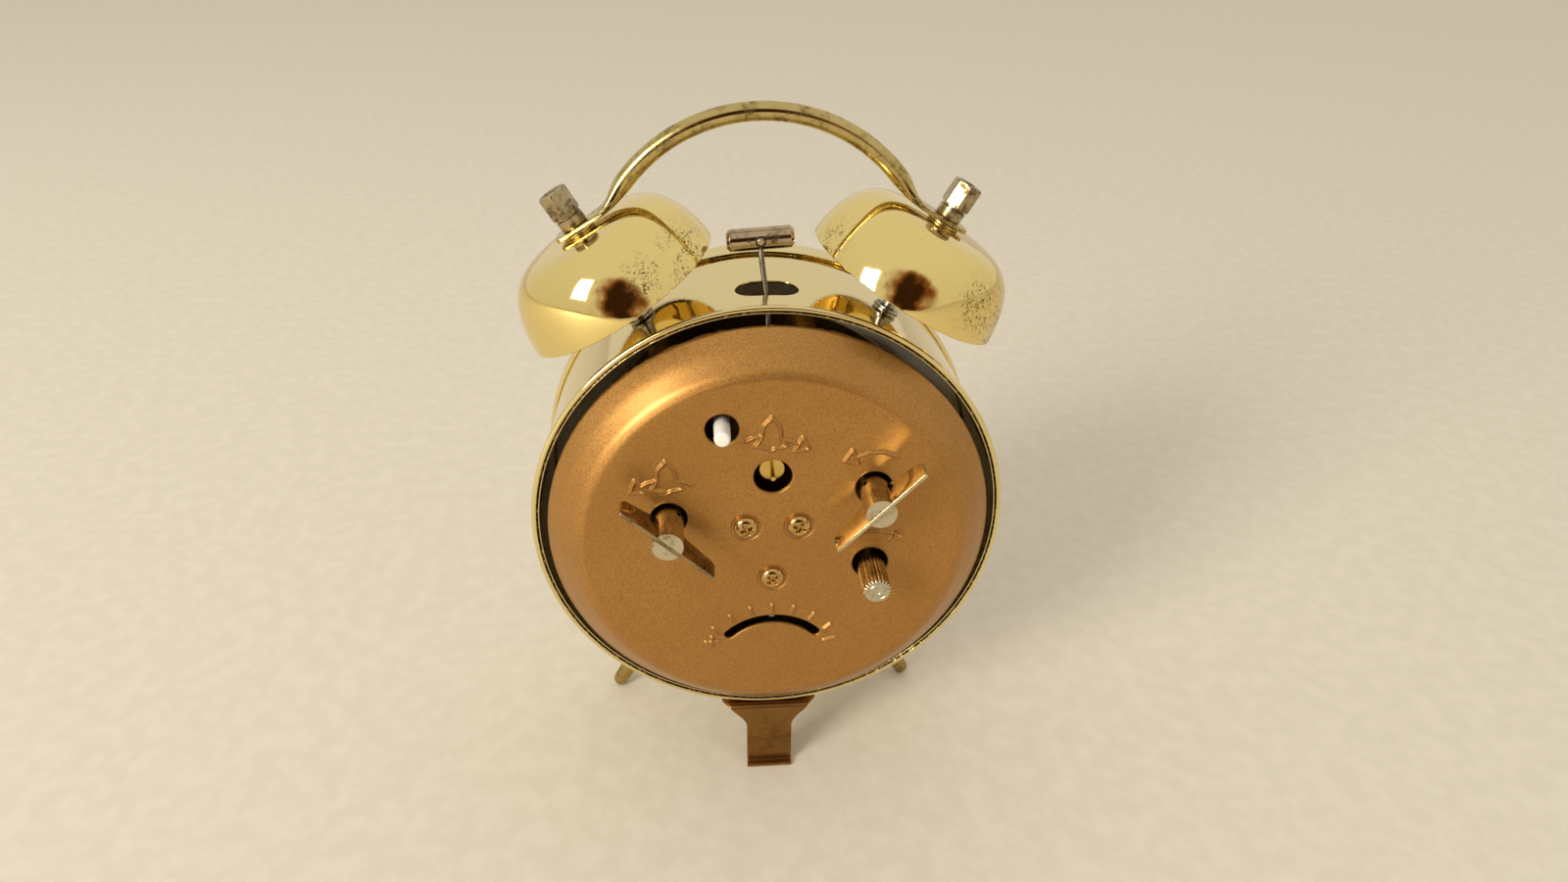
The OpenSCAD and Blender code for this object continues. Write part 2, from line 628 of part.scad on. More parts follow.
module plate_pillars() color("tan") at_case() for (at = pillar_at) {
    rod(at, front_inner_y, rear_inner_y, 2.5);
    rod(at, rear_inner_y - eps, rear_plate_y + 2.4, 1.2);
}

module pillar_nuts() color("silver") at_case() for (at = pillar_at)
    translate([at[0], rear_plate_y, at[1]]) rotate([-90, 0, 0]) hex_nut(5, 1.2, 1.8);

// ---- time train ----

spring_front_y = behind(5.5);
spring_rear_y = behind(15.3);
time_spring_r = 15;
alarm_spring_r = 13.4;
spring_strip = 0.35;
great_rear_y = behind(3.5);
great_t = 1.2;
ratchet_rear_y = behind(4.8);
ratchet_t = 1.1;
ratchet_teeth = 12;
ratchet_r = 5.2;
click_at_r = 8.6;

module mainspring(at, r_out) slab(at, spring_rear_y, spring_rear_y - spring_front_y)
    polygon(spiral_outline(winding_arbor_r + 0.5, r_out - spring_strip, 7, 18, spring_strip));

module time_mainspring() color("slategray") at_case() mainspring(time_arbor, time_spring_r);
module alarm_mainspring() color("slategray") at_case() mainspring(alarm_arbor, alarm_spring_r);

// Posts that hold the outer ends of the two mainsprings
module spring_posts() color("tan") at_case() {
    rod(time_arbor + [time_spring_r + 1.05, 0], spring_front_y - 0.3, rear_inner_y, 1);
    rod(alarm_arbor + [alarm_spring_r + 1.05, 0], spring_front_y - 0.3, rear_inner_y, 1);
}

// Winding arbor, ratchet and the thick outer shaft, slotted for the key's wing
module winding_shaft(at, key_angle) difference() {
    union() {
        rod(at, pivot_front_y, rear_plate_y + 0.4, winding_arbor_r);
        rod(at, rear_plate_y + 0.3, key_end_y, key_shaft_d / 2);
        slab(at, ratchet_rear_y, ratchet_t)
            polygon(ratchet_outline(ratchet_teeth, ratchet_r, ratchet_r - 1.3, 0));
    }
    slab(at, key_end_y + 1, key_height + 1)
        rotate(key_angle) square([key_shaft_d + 2, key_t], center = true);
    translate([at[0], key_end_y - key_height - 1.6, at[1]]) rotate([0, -key_angle, 0])
        cylinder(h = key_shaft_d + 2, r = 0.6, center = true);
}

// A thin wing with cut-off corners, held in the shaft's slot
module winding_key(at, key_angle)
    translate([at[0], key_end_y, at[1]]) rotate([0, -key_angle, 0])
        translate([0, 0, -key_t / 2]) linear_extrude(key_t) polygon([
            [-key_length / 2, 0], [key_length / 2, 0], [key_length / 2, -key_height + 2.4],
            [key_length / 2 - 1, -key_height + 1.6], [key_shaft_d / 2 + 0.6, -key_height],
            [-key_shaft_d / 2 - 0.6, -key_height], [-key_length / 2 + 1, -key_height + 1.6],
            [-key_length / 2, -key_height + 2.4]
        ]);

// A hooked lever on a stud, with its beak in the ratchet's teeth
module click(at) {
    pivot = at + polar(click_at_r, 110);
    difference() {
        union() {
            rod(pivot, great_rear_y + 0.1, ratchet_rear_y, 1.4);
            slab(at, ratchet_rear_y, ratchet_rear_y - great_rear_y - 0.1) polygon([
                polar(click_at_r + 1.2, 108), polar(click_at_r + 0.4, 90), polar(ratchet_r + 1.4, 66),
                polar(ratchet_r - 0.3, 62.6), polar(ratchet_r + 0.5, 70), polar(click_at_r - 1.2, 106)
            ]);
        }
        rod(pivot, great_rear_y - 1, ratchet_rear_y + 1, 0.7 + running_fit);
    }
}

module great_wheel(at, teeth, m, tooth_at) {
    difference() {
        wheel_at(at, great_rear_y, great_t, teeth, m, tooth_at, click_at_r + 2);
        rod(at, great_rear_y - 2, great_rear_y + 1, winding_arbor_r + running_fit);
    }
    rod(at + polar(click_at_r, 110), great_rear_y - eps, ratchet_rear_y + 0.4, 0.7);
}

module time_winding_shaft() color("silver") at_case() winding_shaft(time_arbor, time_key_angle);
module alarm_winding_shaft() color("silver") at_case() winding_shaft(alarm_arbor, alarm_key_angle);
module time_key() color("silver") at_case() winding_key(time_arbor, time_key_angle);
module alarm_key() color("silver") at_case() winding_key(alarm_arbor, alarm_key_angle);
module time_click() color("silver") at_case() click(time_arbor);
module alarm_click() color("silver") at_case() click(alarm_arbor);

module time_great_wheel() color("gold") at_case()
    great_wheel(time_arbor, great_teeth, great_module, direction(time_arbor, set_arbor));
module alarm_great_wheel() color("gold") at_case()
    great_wheel(alarm_arbor, alarm_great_teeth, alarm_module, alarm_train_angle);

// An arbor with its pinion and its wheel; the pinion's gap faces the wheel that drives it
module train_wheel(at, from, to, pinion, pinion_m, pinion_y, wheel, wheel_m, wheel_y) {
    rod(at, pivot_front_y, pivot_rear_y, thin_arbor_r);
    pinion_at(at, pinion_y, 3, pinion, pinion_m, direction(at, from) + 180 / pinion);
    wheel_at(at, wheel_y, 0.7, wheel, wheel_m, direction(at, to), 2.4, 4);
}

module second_wheel() color("gold") at_case() difference() {
    union() {
        rod(set_arbor, front_inner_y + 0.2, behind(19.7), set_arbor_r + 0.8);
        pinion_at(set_arbor, behind(4.3), 3, second_pinion_teeth, great_module,
            direction(set_arbor, time_arbor) + 180 / second_pinion_teeth);
        wheel_at(set_arbor, behind(19.2), 0.8, second_teeth, second_module, second_angle, 3.4);
    }
    rod(set_arbor, front_inner_y - 1, rear_inner_y, set_arbor_r + running_fit);
}

module third_wheel() color("gold") at_case()
    train_wheel(third_arbor, set_arbor, fourth_arbor,
        third_pinion_teeth, second_module, behind(20.3), third_teeth, third_module, behind(13.1));
module fourth_wheel() color("gold") at_case()
    train_wheel(fourth_arbor, third_arbor, escape_arbor,
        fourth_pinion_teeth, third_module, behind(14.3), fourth_teeth, fourth_module, behind(8.3));

module escape_wheel() color("gold") at_case() {
    rod(escape_arbor, pivot_front_y, pivot_rear_y, thin_arbor_r);
    pinion_at(escape_arbor, behind(9.5), 3, escape_pinion_teeth, fourth_module,
        direction(escape_arbor, fourth_arbor) + 180 / escape_pinion_teeth);
    slab(escape_arbor, behind(15.8), 0.6) windowed(1.6, escape_r - 1.6, 4, 0)
        polygon(ratchet_outline(15, escape_r, escape_r - 1.1, 0));
}

// Lever with two upright pallet pins beside the escape wheel and a fork towards the balance
module pallet_fork() color("silver") at_case() {
    rod(pallet_arbor, pivot_front_y, pivot_rear_y, thin_arbor_r);
    to_balance = direction(pallet_arbor, balance_arbor);
    slab(pallet_arbor, behind(16.6), 0.6) rotate(to_balance) difference() {
        union() {
            circle(r = 1.6);
            polygon([[0, 1], [5.2, 0.6], [5.2, 1.3], [6.6, 1.3], [6.6, -1.3], [5.2, -1.3],
                [5.2, -0.6], [0, -1]]);
            polygon([[0.8, 0], [0.7 - pallet_pin[0], pallet_pin[1] + 0.5],
                [-0.7 - pallet_pin[0], pallet_pin[1] + 0.3], [-1, 0],
                [-0.7 - pallet_pin[0], -pallet_pin[1] - 0.3],
                [0.7 - pallet_pin[0], -pallet_pin[1] - 0.5]]);
        }
        translate([5.8, -0.4]) square([2, 0.8]);
    }
    for (side = [-1, 1])
        rod(pallet_arbor
            + polar(norm(pallet_pin), to_balance + 180 - side * atan2(pallet_pin[1], pallet_pin[0])),
            behind(15.1), behind(16.1), 0.25);
}

// Rim, two spokes, staff and the roller with its impulse pin
module balance_wheel() color("khaki") at_case() {
    rod(balance_arbor, pivot_front_y, pivot_rear_y, thin_arbor_r);
    difference() {
        rod(balance_arbor, behind(18.1), behind(19.3), balance_r);
        rod(balance_arbor, behind(16.9), behind(19.9), balance_r - 1.3);
    }
    slab(balance_arbor, behind(19), 0.6) difference() {
        union() {
            square([2 * balance_r - 1.6, 1.3], center = true);
            circle(r = 2);
        }
        circle(r = thin_arbor_r - eps);
    }
    rod(balance_arbor, behind(16.9), behind(17.7), 1.9);
    rod(balance_arbor + [0, 1.4], behind(16.2), behind(16.9) + eps, 0.2);
}

module hairspring() color("slategray") at_case() {
    slab(balance_arbor, behind(21.7), 0.8) polygon(spiral_outline(1.4, 5.2, 6, 18, 0.15));
    rod(balance_arbor + [5.3, 0], behind(21.3), rear_inner_y, 0.4);
}

// Ring about the balance axis and an arm whose bent tip stands under the cover's slot
module regulator_lever() color("silver") at_case() {
    difference() {
        union() {
            rod(balance_arbor, rear_plate_y + 0.2, rear_plate_y + 0.9, 3);
            slab(balance_arbor, rear_plate_y + 0.9, 0.7)
                translate([-0.8, 2]) square([1.6, regulator_slot_r - 1.4]);
        }
        rod(balance_arbor, rear_plate_y - 1, rear_plate_y + 2, 1.4);
    }
    translate([balance_arbor[0] - 0.6, rear_plate_y + 0.4, balance_arbor[1] + regulator_slot_r - 0.4])
        cube([1.2, cover_inner_y - rear_plate_y - 1.2, 0.8]);
}

// ---- alarm train ----

module alarm_escape_wheel() color("gold") at_case() {
    rod(alarm_escape_arbor, pivot_front_y, pivot_rear_y, thin_arbor_r);
    pinion_at(alarm_escape_arbor, behind(4.3), 3, alarm_pinion_teeth, alarm_module,
        direction(alarm_escape_arbor, alarm_arbor) + 180 / alarm_pinion_teeth);
    slab(alarm_escape_arbor, behind(16.9), 1) windowed(1.8, alarm_escape_r - 1.8, 4, 0)
        polygon(ratchet_outline(18, alarm_escape_r, alarm_escape_r - 1.2, 0));
}

module alarm_stop_pin() color("white") at_case() {
    pin_end = plateau_y + 4.6;
    rod(stop_pin_at, rear_inner_y - 2, pin_end - stop_pin_d / 2 + 0.4, stop_pin_d / 2);
    intersection() {
        translate([stop_pin_at[0], pin_end - stop_pin_d / 2, stop_pin_at[1]]) sphere(d = stop_pin_d);
        rod(stop_pin_at, pin_end - stop_pin_d / 2, pin_end + 1, stop_pin_d);
    }
}

// ---- motion work and hands ----

set_wheel_y = front_plate_y - 0.6;
cannon_y = front_plate_y - 1.6;
hour_wheel_y = front_plate_y - 2.9;
alarm_wheel_y = front_plate_y - 4.1;

// Friction-driven shaft of the setting knob, with its wheel under the dial
module set_shaft() color("silver") at_case() {
    rod(set_arbor, set_wheel_y - 1.2, knob_end_y - 1.5, set_arbor_r);
    wheel_at(set_arbor, set_wheel_y, 0.8, set_teeth, set_module, direction(set_arbor, [0, 0]), 2.4);
}

module set_knob() color("silver") at_case() difference() {
    union() {
        rod(set_arbor, knob_start_y, knob_end_y, knob_d / 2 - 0.35);
        slab(set_arbor, knob_end_y - 0.5, knob_end_y - knob_start_y - 1)
            polygon(gear_outline(knob_knurls, (knob_d - 0.4) / knob_knurls, 0));
        rod(set_arbor, rear_plate_y + 0.4, knob_start_y + eps, 1.9);
    }
    rod(set_arbor, rear_plate_y - 1, knob_end_y - 1.5, set_arbor_r);
}

// Tube on the centre post: wheel, pinion and the seat of the minute hand
module cannon_pinion() color("gold") at_case() difference() {
    union() {
        rod([0, 0], dial_front_y - 3.1, front_plate_y - 0.4, 1.6);
        wheel_at([0, 0], set_wheel_y, 0.8, set_pinion_teeth, set_module,
            direction([0, 0], set_arbor) + 180 / set_pinion_teeth, 2.6);
        pinion_at([0, 0], cannon_y, 1, cannon_teeth, cannon_module, -90);
    }
    rod([0, 0], dial_front_y - 4, front_plate_y + 1, 1 + running_fit);
}

module minute_wheel() color("gold") at_case() difference() {
    union() {
        wheel_at(minute_arbor, cannon_y - 0.1, 0.7, minute_teeth, cannon_module,
            90 + 180 / minute_teeth, 2.2, 4);
        pinion_at(minute_arbor, cannon_y - 0.8 + eps, 1.2, minute_pinion_teeth, hour_module, 90);
    }
    rod(minute_arbor, front_plate_y - 5, front_plate_y, 0.8 + running_fit);
}

module hour_wheel() color("gold") at_case() difference() {
    union() {
        rod([0, 0], dial_front_y - 1.8, hour_wheel_y, 2.3);
        wheel_at([0, 0], hour_wheel_y, 0.7, hour_teeth, hour_module, -90 + 180 / hour_teeth, 3.2, 4);
    }
    rod([0, 0], dial_front_y - 4, front_plate_y, 1.6 + running_fit);
}

module alarm_wheel() color("gold") at_case() difference() {
    union() {
        rod([0, 0], dial_front_y - 0.9, alarm_wheel_y, 3);
        wheel_at([0, 0], alarm_wheel_y, 0.6, alarm_teeth, alarm_set_module,
            90 + 180 / alarm_teeth, 4.4);
    }
    rod([0, 0], dial_front_y - 4, front_plate_y, 2.3 + running_fit);
}

// Alarm-setting shaft: pinion under the dial, brass disc and bare stub in the cover's hole
module alarm_set_shaft() color("goldenrod") at_case() {
    rod(alarm_set_arbor, alarm_wheel_y - 0.6, plateau_y - 3.3, alarm_set_r);
    pinion_at(alarm_set_arbor, alarm_wheel_y, 0.6, alarm_set_teeth, alarm_set_module, -90);
    rod(alarm_set_arbor, plateau_y - 3.8, plateau_y - 3.3, 2.65);
    rod(alarm_set_arbor, plateau_y - 3.4, plateau_y + 0.8, 0.5);
}

// A pointed hand on a collar; clock_angle is measured clockwise from twelve, seen from the dial side
module hand(clock_angle, length, w, tail, y_rear, bore_r, hub_r) difference() {
    union() {
        rod([0, 0], y_rear - hand_t - 0.1, y_rear, hub_r);
        slab([0, 0], y_rear, hand_t) rotate(90 - clock_angle)
            polygon([[-tail, w / 2], [length * 0.72, w * 0.9], [length, 0],
                [length * 0.72, -w * 0.9], [-tail, -w / 2]]);
    }
    rod([0, 0], y_rear - 1, y_rear + 1, bore_r);
}

module minute_hand() color("black") at_case()
    hand(shown_minute * 6, 38, 2, 9, dial_front_y - 2.7, 1.6, 3);
module hour_hand() color("black") at_case()
    hand((shown_hour + shown_minute / 60) * 30, 26, 2.6, 6, dial_front_y - 1.4, 2.3, 3.8);
module alarm_hand() color("black") at_case()
    hand(alarm_hour * 30, 20, 1.2, 5, dial_front_y - 0.4, 3, 4.4);

case_drum();
front_bezel();
dial_glass();
reflector_ring();
dial();
dial_pins();
rear_cover();
cover_screws();
cover_posts();
rear_foot();
foot_rivets();
left_front_foot();
right_front_foot();
foot_nuts();
left_bell();
right_bell();
bell_posts();
post_washers();
post_nuts();
bell_spacers();
bell_nuts();
handle();
hammer_head();
hammer_wire();
hammer_arbor();
front_plate();
rear_plate();
plate_pillars();
pillar_nuts();
spring_posts();
time_mainspring();
time_great_wheel();
time_click();
time_winding_shaft();
time_key();
alarm_mainspring();
alarm_great_wheel();
alarm_click();
alarm_winding_shaft();
alarm_key();
alarm_escape_wheel();
second_wheel();
third_wheel();
fourth_wheel();
escape_wheel();
pallet_fork();
balance_wheel();
hairspring();
regulator_lever();
set_shaft();
set_knob();
cannon_pinion();
minute_wheel();
hour_wheel();
alarm_wheel();
alarm_set_shaft();
minute_hand();
hour_hand();
alarm_hand();
alarm_stop_pin();
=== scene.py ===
import json
import math

import bpy
import bmesh
import numpy as np
from mathutils import Matrix, Vector
from mathutils.geometry import delaunay_2d_cdt


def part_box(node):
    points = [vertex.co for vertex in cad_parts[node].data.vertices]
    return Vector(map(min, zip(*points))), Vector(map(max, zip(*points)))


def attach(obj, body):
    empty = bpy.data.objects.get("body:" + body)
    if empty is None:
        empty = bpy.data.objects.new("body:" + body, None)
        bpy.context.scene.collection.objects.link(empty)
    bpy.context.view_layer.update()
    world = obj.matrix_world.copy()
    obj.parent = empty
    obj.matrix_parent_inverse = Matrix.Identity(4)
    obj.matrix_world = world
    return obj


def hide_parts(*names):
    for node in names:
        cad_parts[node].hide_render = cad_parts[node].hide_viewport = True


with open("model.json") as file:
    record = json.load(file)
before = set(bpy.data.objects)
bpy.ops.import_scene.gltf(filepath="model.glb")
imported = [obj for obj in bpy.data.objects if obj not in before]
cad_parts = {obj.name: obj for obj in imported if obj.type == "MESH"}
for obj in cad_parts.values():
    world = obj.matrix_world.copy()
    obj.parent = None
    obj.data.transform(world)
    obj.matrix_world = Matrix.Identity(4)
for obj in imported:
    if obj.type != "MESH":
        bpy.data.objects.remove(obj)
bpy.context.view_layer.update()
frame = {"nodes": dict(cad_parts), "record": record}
mm = 0.001
print("frame loaded:", len(frame["nodes"]), "nodes")

# Every piece is drawn in millimetres about the clock's axis, with y = 0 at the rolled rear edge
caseDepth = 42.0   # rolled edge to the front of the bezel
bezelLow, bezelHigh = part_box("front_bezel")
axisHeight = (bezelLow.z + bezelHigh.z) / 2 / mm
rimPlane = bezelLow.y / mm + caseDepth
caseFrame = Matrix.Scale(mm, 4) @ Matrix.Translation((0, rimPlane, axisHeight))
alongAxis = Matrix.Rotation(math.radians(-90), 4, "X")   # turns a piece drawn up +Z to point at +Y


viewpoint = {
    "place": (13.07, 195.05, 130.42),
    "look": (-0.0719, -0.87074, -0.48646),
    "up": (-0.02805, -0.48577, 0.87364),
    "lens": 23.70,
}


def makeCamera():
    look = Vector(viewpoint["look"]).normalized()
    up = Vector(viewpoint["up"])
    right = look.cross(up).normalized()
    up = right.cross(look)
    turn = Matrix((right, up, -look)).transposed().to_4x4()
    data = bpy.data.cameras.new("camera")
    data.lens = viewpoint["lens"]
    data.sensor_width = 36
    data.clip_start = 0.01
    camera = bpy.data.objects.new("camera", data)
    bpy.context.scene.collection.objects.link(camera)
    camera.matrix_world = Matrix.Translation(caseFrame @ Vector(viewpoint["place"])) @ turn
    bpy.context.scene.camera = camera


makeCamera()


def linear(code, alpha=1.0):   # an sRGB hex colour as linear values
    parts = [int(code[i:i + 2], 16) / 255 for i in (1, 3, 5)]
    return [c / 12.92 if c <= 0.04045 else ((c + 0.055) / 1.055) ** 2.4 for c in parts] + [alpha]


def setInputs(node, inputs):   # a value is a number, a socket, or a node whose first live output is used
    for key, value in inputs.items():
        if isinstance(value, bpy.types.Node):
            value = next(output for output in value.outputs if output.enabled)
        if isinstance(value, bpy.types.NodeSocket):
            node.id_data.links.new(value, node.inputs[key])
        else:
            node.inputs[key].default_value = value


def addNode(tree, kind, inputs=None, **settings):   # a node with its settings, values and links
    node = tree.nodes.new(kind)
    for key, value in settings.items():
        setattr(node, key, value)
    setInputs(node, inputs or {})
    return node


def newMaterial(name):
    material = bpy.data.materials.new(name)
    material.use_nodes = True
    tree = material.node_tree
    return material, tree, tree.nodes["Principled BSDF"]


bodyOf = {node: body for body, nodes in frame["record"]["behaviour"]["bodies"].items() for node in nodes}
toCase = caseFrame.inverted()


def caseBox(node):   # a node's corners in millimetres about the clock's axis
    low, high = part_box(node)
    return toCase @ low, toCase @ high


def centreOf(node):
    low, high = caseBox(node)
    return (low + high) / 2


def makeMesh(name, verts, faces, place=Matrix(), sharp=35):
    mesh = bpy.data.meshes.new(name)
    mesh.from_pydata([tuple(v) for v in verts], [], faces)
    work = bmesh.new()
    work.from_mesh(mesh)
    bmesh.ops.remove_doubles(work, verts=work.verts, dist=0.0005)
    bmesh.ops.dissolve_degenerate(work, edges=work.edges, dist=0.0001)
    bmesh.ops.recalc_face_normals(work, faces=work.faces)
    work.to_mesh(mesh)
    work.free()
    mesh.transform(caseFrame @ place)
    mesh.shade_smooth()
    mesh.set_sharp_from_angle(angle=math.radians(sharp))
    return mesh


def addPiece(name, mesh, material, slot, *nodes, body=None):
    piece = bpy.data.objects.new(name, mesh)
    bpy.context.scene.collection.objects.link(piece)
    mesh.materials.clear()
    mesh.materials.append(material)
    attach(piece, body or bodyOf[nodes[0]])
    if nodes:
        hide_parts(*nodes)
    return piece


def joined(parts):   # several (verts, faces) lists as one
    verts, faces = [], []
    for someVerts, someFaces in parts:
        start = len(verts)
        verts += [Vector(v) for v in someVerts]
        faces += [[start + i for i in face] for face in someFaces]
    return verts, faces


def moved(part, place):
    verts, faces = part
    return [place @ Vector(v) for v in verts], faces


def rounded(corners, steps=4, closed=True):   # corners given as (x, y, radius) become soft
    points = []
    for i, (x, y, radius) in enumerate(corners):
        here = Vector((x, y))
        if radius == 0 or (not closed and i in (0, len(corners) - 1)):
            points.append((x, y))
            continue
        back = Vector(corners[i - 1][:2]) - here
        ahead = Vector(corners[(i + 1) % len(corners)][:2]) - here
        reach = radius / max(math.tan(back.angle(ahead) / 2), 0.05)
        reach = min(reach, back.length * 0.49, ahead.length * 0.49)
        a, b = here + back.normalized() * reach, here + ahead.normalized() * reach
        for k in range(steps + 1):
            t = k / steps
            points.append(tuple(a * (1 - t) ** 2 + here * (2 * t * (1 - t)) + b * t ** 2))
    return points


def lathe(profile, count=96, closed=True, radius=None):   # (radius, height) points turned about Z
    verts, rings = [], []
    for k, (r, h) in enumerate(profile):
        if r < 1e-4:
            rings.append([len(verts)])
            verts.append((0, 0, h))
            continue
        rings.append(list(range(len(verts), len(verts) + count)))
        for i in range(count):
            a = 2 * math.pi * i / count
            here = radius(r, h, a) if radius else r
            verts.append((here * math.cos(a), here * math.sin(a), h))
    faces = []
    for k in range(len(rings) if closed else len(rings) - 1):
        low, high = rings[k], rings[(k + 1) % len(rings)]
        if len(low) == 1 and len(high) == 1:
            continue
        for i in range(count):
            j = (i + 1) % count
            face = [low[i % len(low)], low[j % len(low)], high[j % len(high)], high[i % len(high)]]
            faces.append([v for n, v in enumerate(face) if v not in face[:n]])
    return verts, faces


def sweep(path, across, sections):   # a section of (u, v) points at each place along the path
    verts, faces = [], []
    for i, here in enumerate(path):
        ahead = path[min(i + 1, len(path) - 1)] - path[max(i - 1, 0)]
        normal = ahead.normalized().cross(across).normalized()
        verts += [here + across * u + normal * v for u, v in sections[i]]
    size = len(sections[0])
    for i in range(len(path) - 1):
        for j in range(size):
            k = (j + 1) % size
            faces.append([i * size + j, i * size + k, (i + 1) * size + k, (i + 1) * size + j])
    faces.append(list(range(size)))
    faces.append([(len(path) - 1) * size + j for j in range(size)])
    return verts, faces


def slabOf(outline, low, high, bevel=0.15):   # a flat outline raised from low to high, with soft edges
    work = bmesh.new()
    base = work.faces.new([work.verts.new((x, y, low)) for x, y in outline])
    top = bmesh.ops.extrude_face_region(work, geom=[base])["geom"]
    for v in (g for g in top if isinstance(g, bmesh.types.BMVert)):
        v.co.z = high
    rims = [e for e in work.edges if abs(e.verts[0].co.z - e.verts[1].co.z) < 1e-6]
    bmesh.ops.bevel(work, geom=rims, offset=bevel, segments=3, profile=0.5, affect="EDGES")
    work.verts.index_update()
    part = [v.co.copy() for v in work.verts], [[v.index for v in f.verts] for f in work.faces]
    work.free()
    return part


def facing(x, z, y=0):   # a place on the rear side: local +Z looks along +Y
    return Matrix.Translation((x, y, z)) @ alongAxis


def repeatTree():
    tree = bpy.data.node_groups.new("repeatPiece", "GeometryNodeTree")
    for name, kind in (("Geometry", "Geometry"), ("Piece", "Object"), ("Size", "Float"),
                       ("Finish", "Material")):
        tree.interface.new_socket(name, in_out="INPUT", socket_type="NodeSocket" + kind)
    tree.interface.new_socket("Geometry", in_out="OUTPUT", socket_type="NodeSocketGeometry")
    given = addNode(tree, "NodeGroupInput").outputs
    piece = addNode(tree, "GeometryNodeObjectInfo", {"Object": given["Piece"]}, transform_space="ORIGINAL")
    turn = addNode(tree, "GeometryNodeInputNamedAttribute", {"Name": "turn"}, data_type="FLOAT_VECTOR")
    turned = addNode(tree, "FunctionNodeEulerToRotation", {"Euler": turn.outputs["Attribute"]})
    size = addNode(tree, "ShaderNodeCombineXYZ",
                   {"X": given["Size"], "Y": given["Size"], "Z": given["Size"]})
    placed = addNode(tree, "GeometryNodeInstanceOnPoints", {
        "Points": given["Geometry"], "Instance": piece.outputs["Geometry"],
        "Rotation": turned.outputs["Rotation"], "Scale": size.outputs["Vector"]})
    solid = addNode(tree, "GeometryNodeRealizeInstances", {"Geometry": placed.outputs["Instances"]})
    finish = addNode(tree, "GeometryNodeSetMaterial",
                     {"Geometry": solid.outputs["Geometry"], "Material": given["Finish"]})
    addNode(tree, "NodeGroupOutput", {"Geometry": finish.outputs["Geometry"]})
    return tree


repeatPiece = repeatTree()


def repeated(name, part, places, material, size=1.0, sharp=35):   # one mesh: the part at every place
    template = bpy.data.objects.new(name + "Template", bpy.data.meshes.new(name + "Template"))
    template.data.from_pydata([tuple(v) for v in part[0]], [], part[1])
    points = bpy.data.meshes.new(name + "Points")
    points.from_pydata([tuple(place.translation) for place in places], [], [])
    turns = points.attributes.new("turn", "FLOAT_VECTOR", "POINT")
    for item, place in zip(turns.data, places):
        item.vector = place.to_euler()
    holder = bpy.data.objects.new(name + "Points", points)
    for thing in (template, holder):
        bpy.context.scene.collection.objects.link(thing)
    modifier = holder.modifiers.new("repeat", "NODES")
    modifier.node_group = repeatPiece
    sockets = {s.name: s.identifier for s in repeatPiece.interface.items_tree if s.in_out == "INPUT"}
    modifier[sockets["Piece"]] = template
    modifier[sockets["Size"]] = size
    modifier[sockets["Finish"]] = material
    bpy.context.view_layer.update()
    seen = holder.evaluated_get(bpy.context.evaluated_depsgraph_get())
    result = bpy.data.meshes.new_from_object(seen)
    holder.modifiers.clear()
    verts = [v.co.copy() for v in result.vertices]
    faces = [list(p.vertices) for p in result.polygons]
    for thing in (template, holder):
        bpy.data.objects.remove(thing)
    return makeMesh(name, verts, faces, sharp=sharp)


print("helpers ready")


soft = {"interpolation_type": "SMOOTHSTEP"}   # a map range that eases in and out
colours = {"data_type": "RGBA"}   # a mix of two colours: 0 is the factor, 6 and 7 the colours


def metalFinish(name, colour, dark, rough, roughDark, grain=1.2, wear=0.35, depth=0.004, streak=1.0,
                clean=0.58):
    # Base metal under handling wear: the dull colour gathers in noise patches over the bright one
    material, tree, shader = newMaterial(name)
    place = addNode(tree, "ShaderNodeTexCoord").outputs["Object"]
    if streak != 1.0:
        place = addNode(tree, "ShaderNodeMapping", {"Vector": place, "Scale": (1, streak, 1)})
    coarse = addNode(tree, "ShaderNodeTexNoise", {
        "Vector": place, "Scale": 1 / (grain * 4 * mm), "Detail": 4.0, "Roughness": 0.55})
    patches = addNode(tree, "ShaderNodeMapRange", {
        "Value": coarse, "From Min": clean - 0.13, "From Max": clean + 0.14}, **soft)
    fine = addNode(tree, "ShaderNodeTexNoise", {
        "Vector": place, "Scale": 1 / (grain * mm), "Detail": 4.0, "Roughness": 0.65})
    specks = addNode(tree, "ShaderNodeMapRange", {"Value": fine, "From Min": 0.42, "From Max": 0.68}, **soft)
    pits = addNode(tree, "ShaderNodeMath", {0: patches, 1: specks}, operation="MULTIPLY")
    film = addNode(tree, "ShaderNodeMath", {0: patches, 1: 0.5}, operation="MULTIPLY")
    both = addNode(tree, "ShaderNodeMath", {0: film, 1: pits}, operation="ADD")
    scaled = addNode(tree, "ShaderNodeMath", {0: both, 1: wear * 1.6}, operation="MULTIPLY")
    worn = addNode(tree, "ShaderNodeMath", {0: scaled, 1: 1.0}, operation="MINIMUM")
    tint = addNode(tree, "ShaderNodeMix", {0: worn, 6: linear(colour), 7: linear(dark)}, **colours)
    gloss = addNode(tree, "ShaderNodeMapRange", {"Value": worn, "To Min": rough, "To Max": roughDark}, **soft)
    bump = addNode(tree, "ShaderNodeBump", {"Height": fine, "Distance": depth * mm})
    setInputs(shader, {"Base Color": tint, "Metallic": 1.0, "Roughness": gloss, "Normal": bump})
    return material


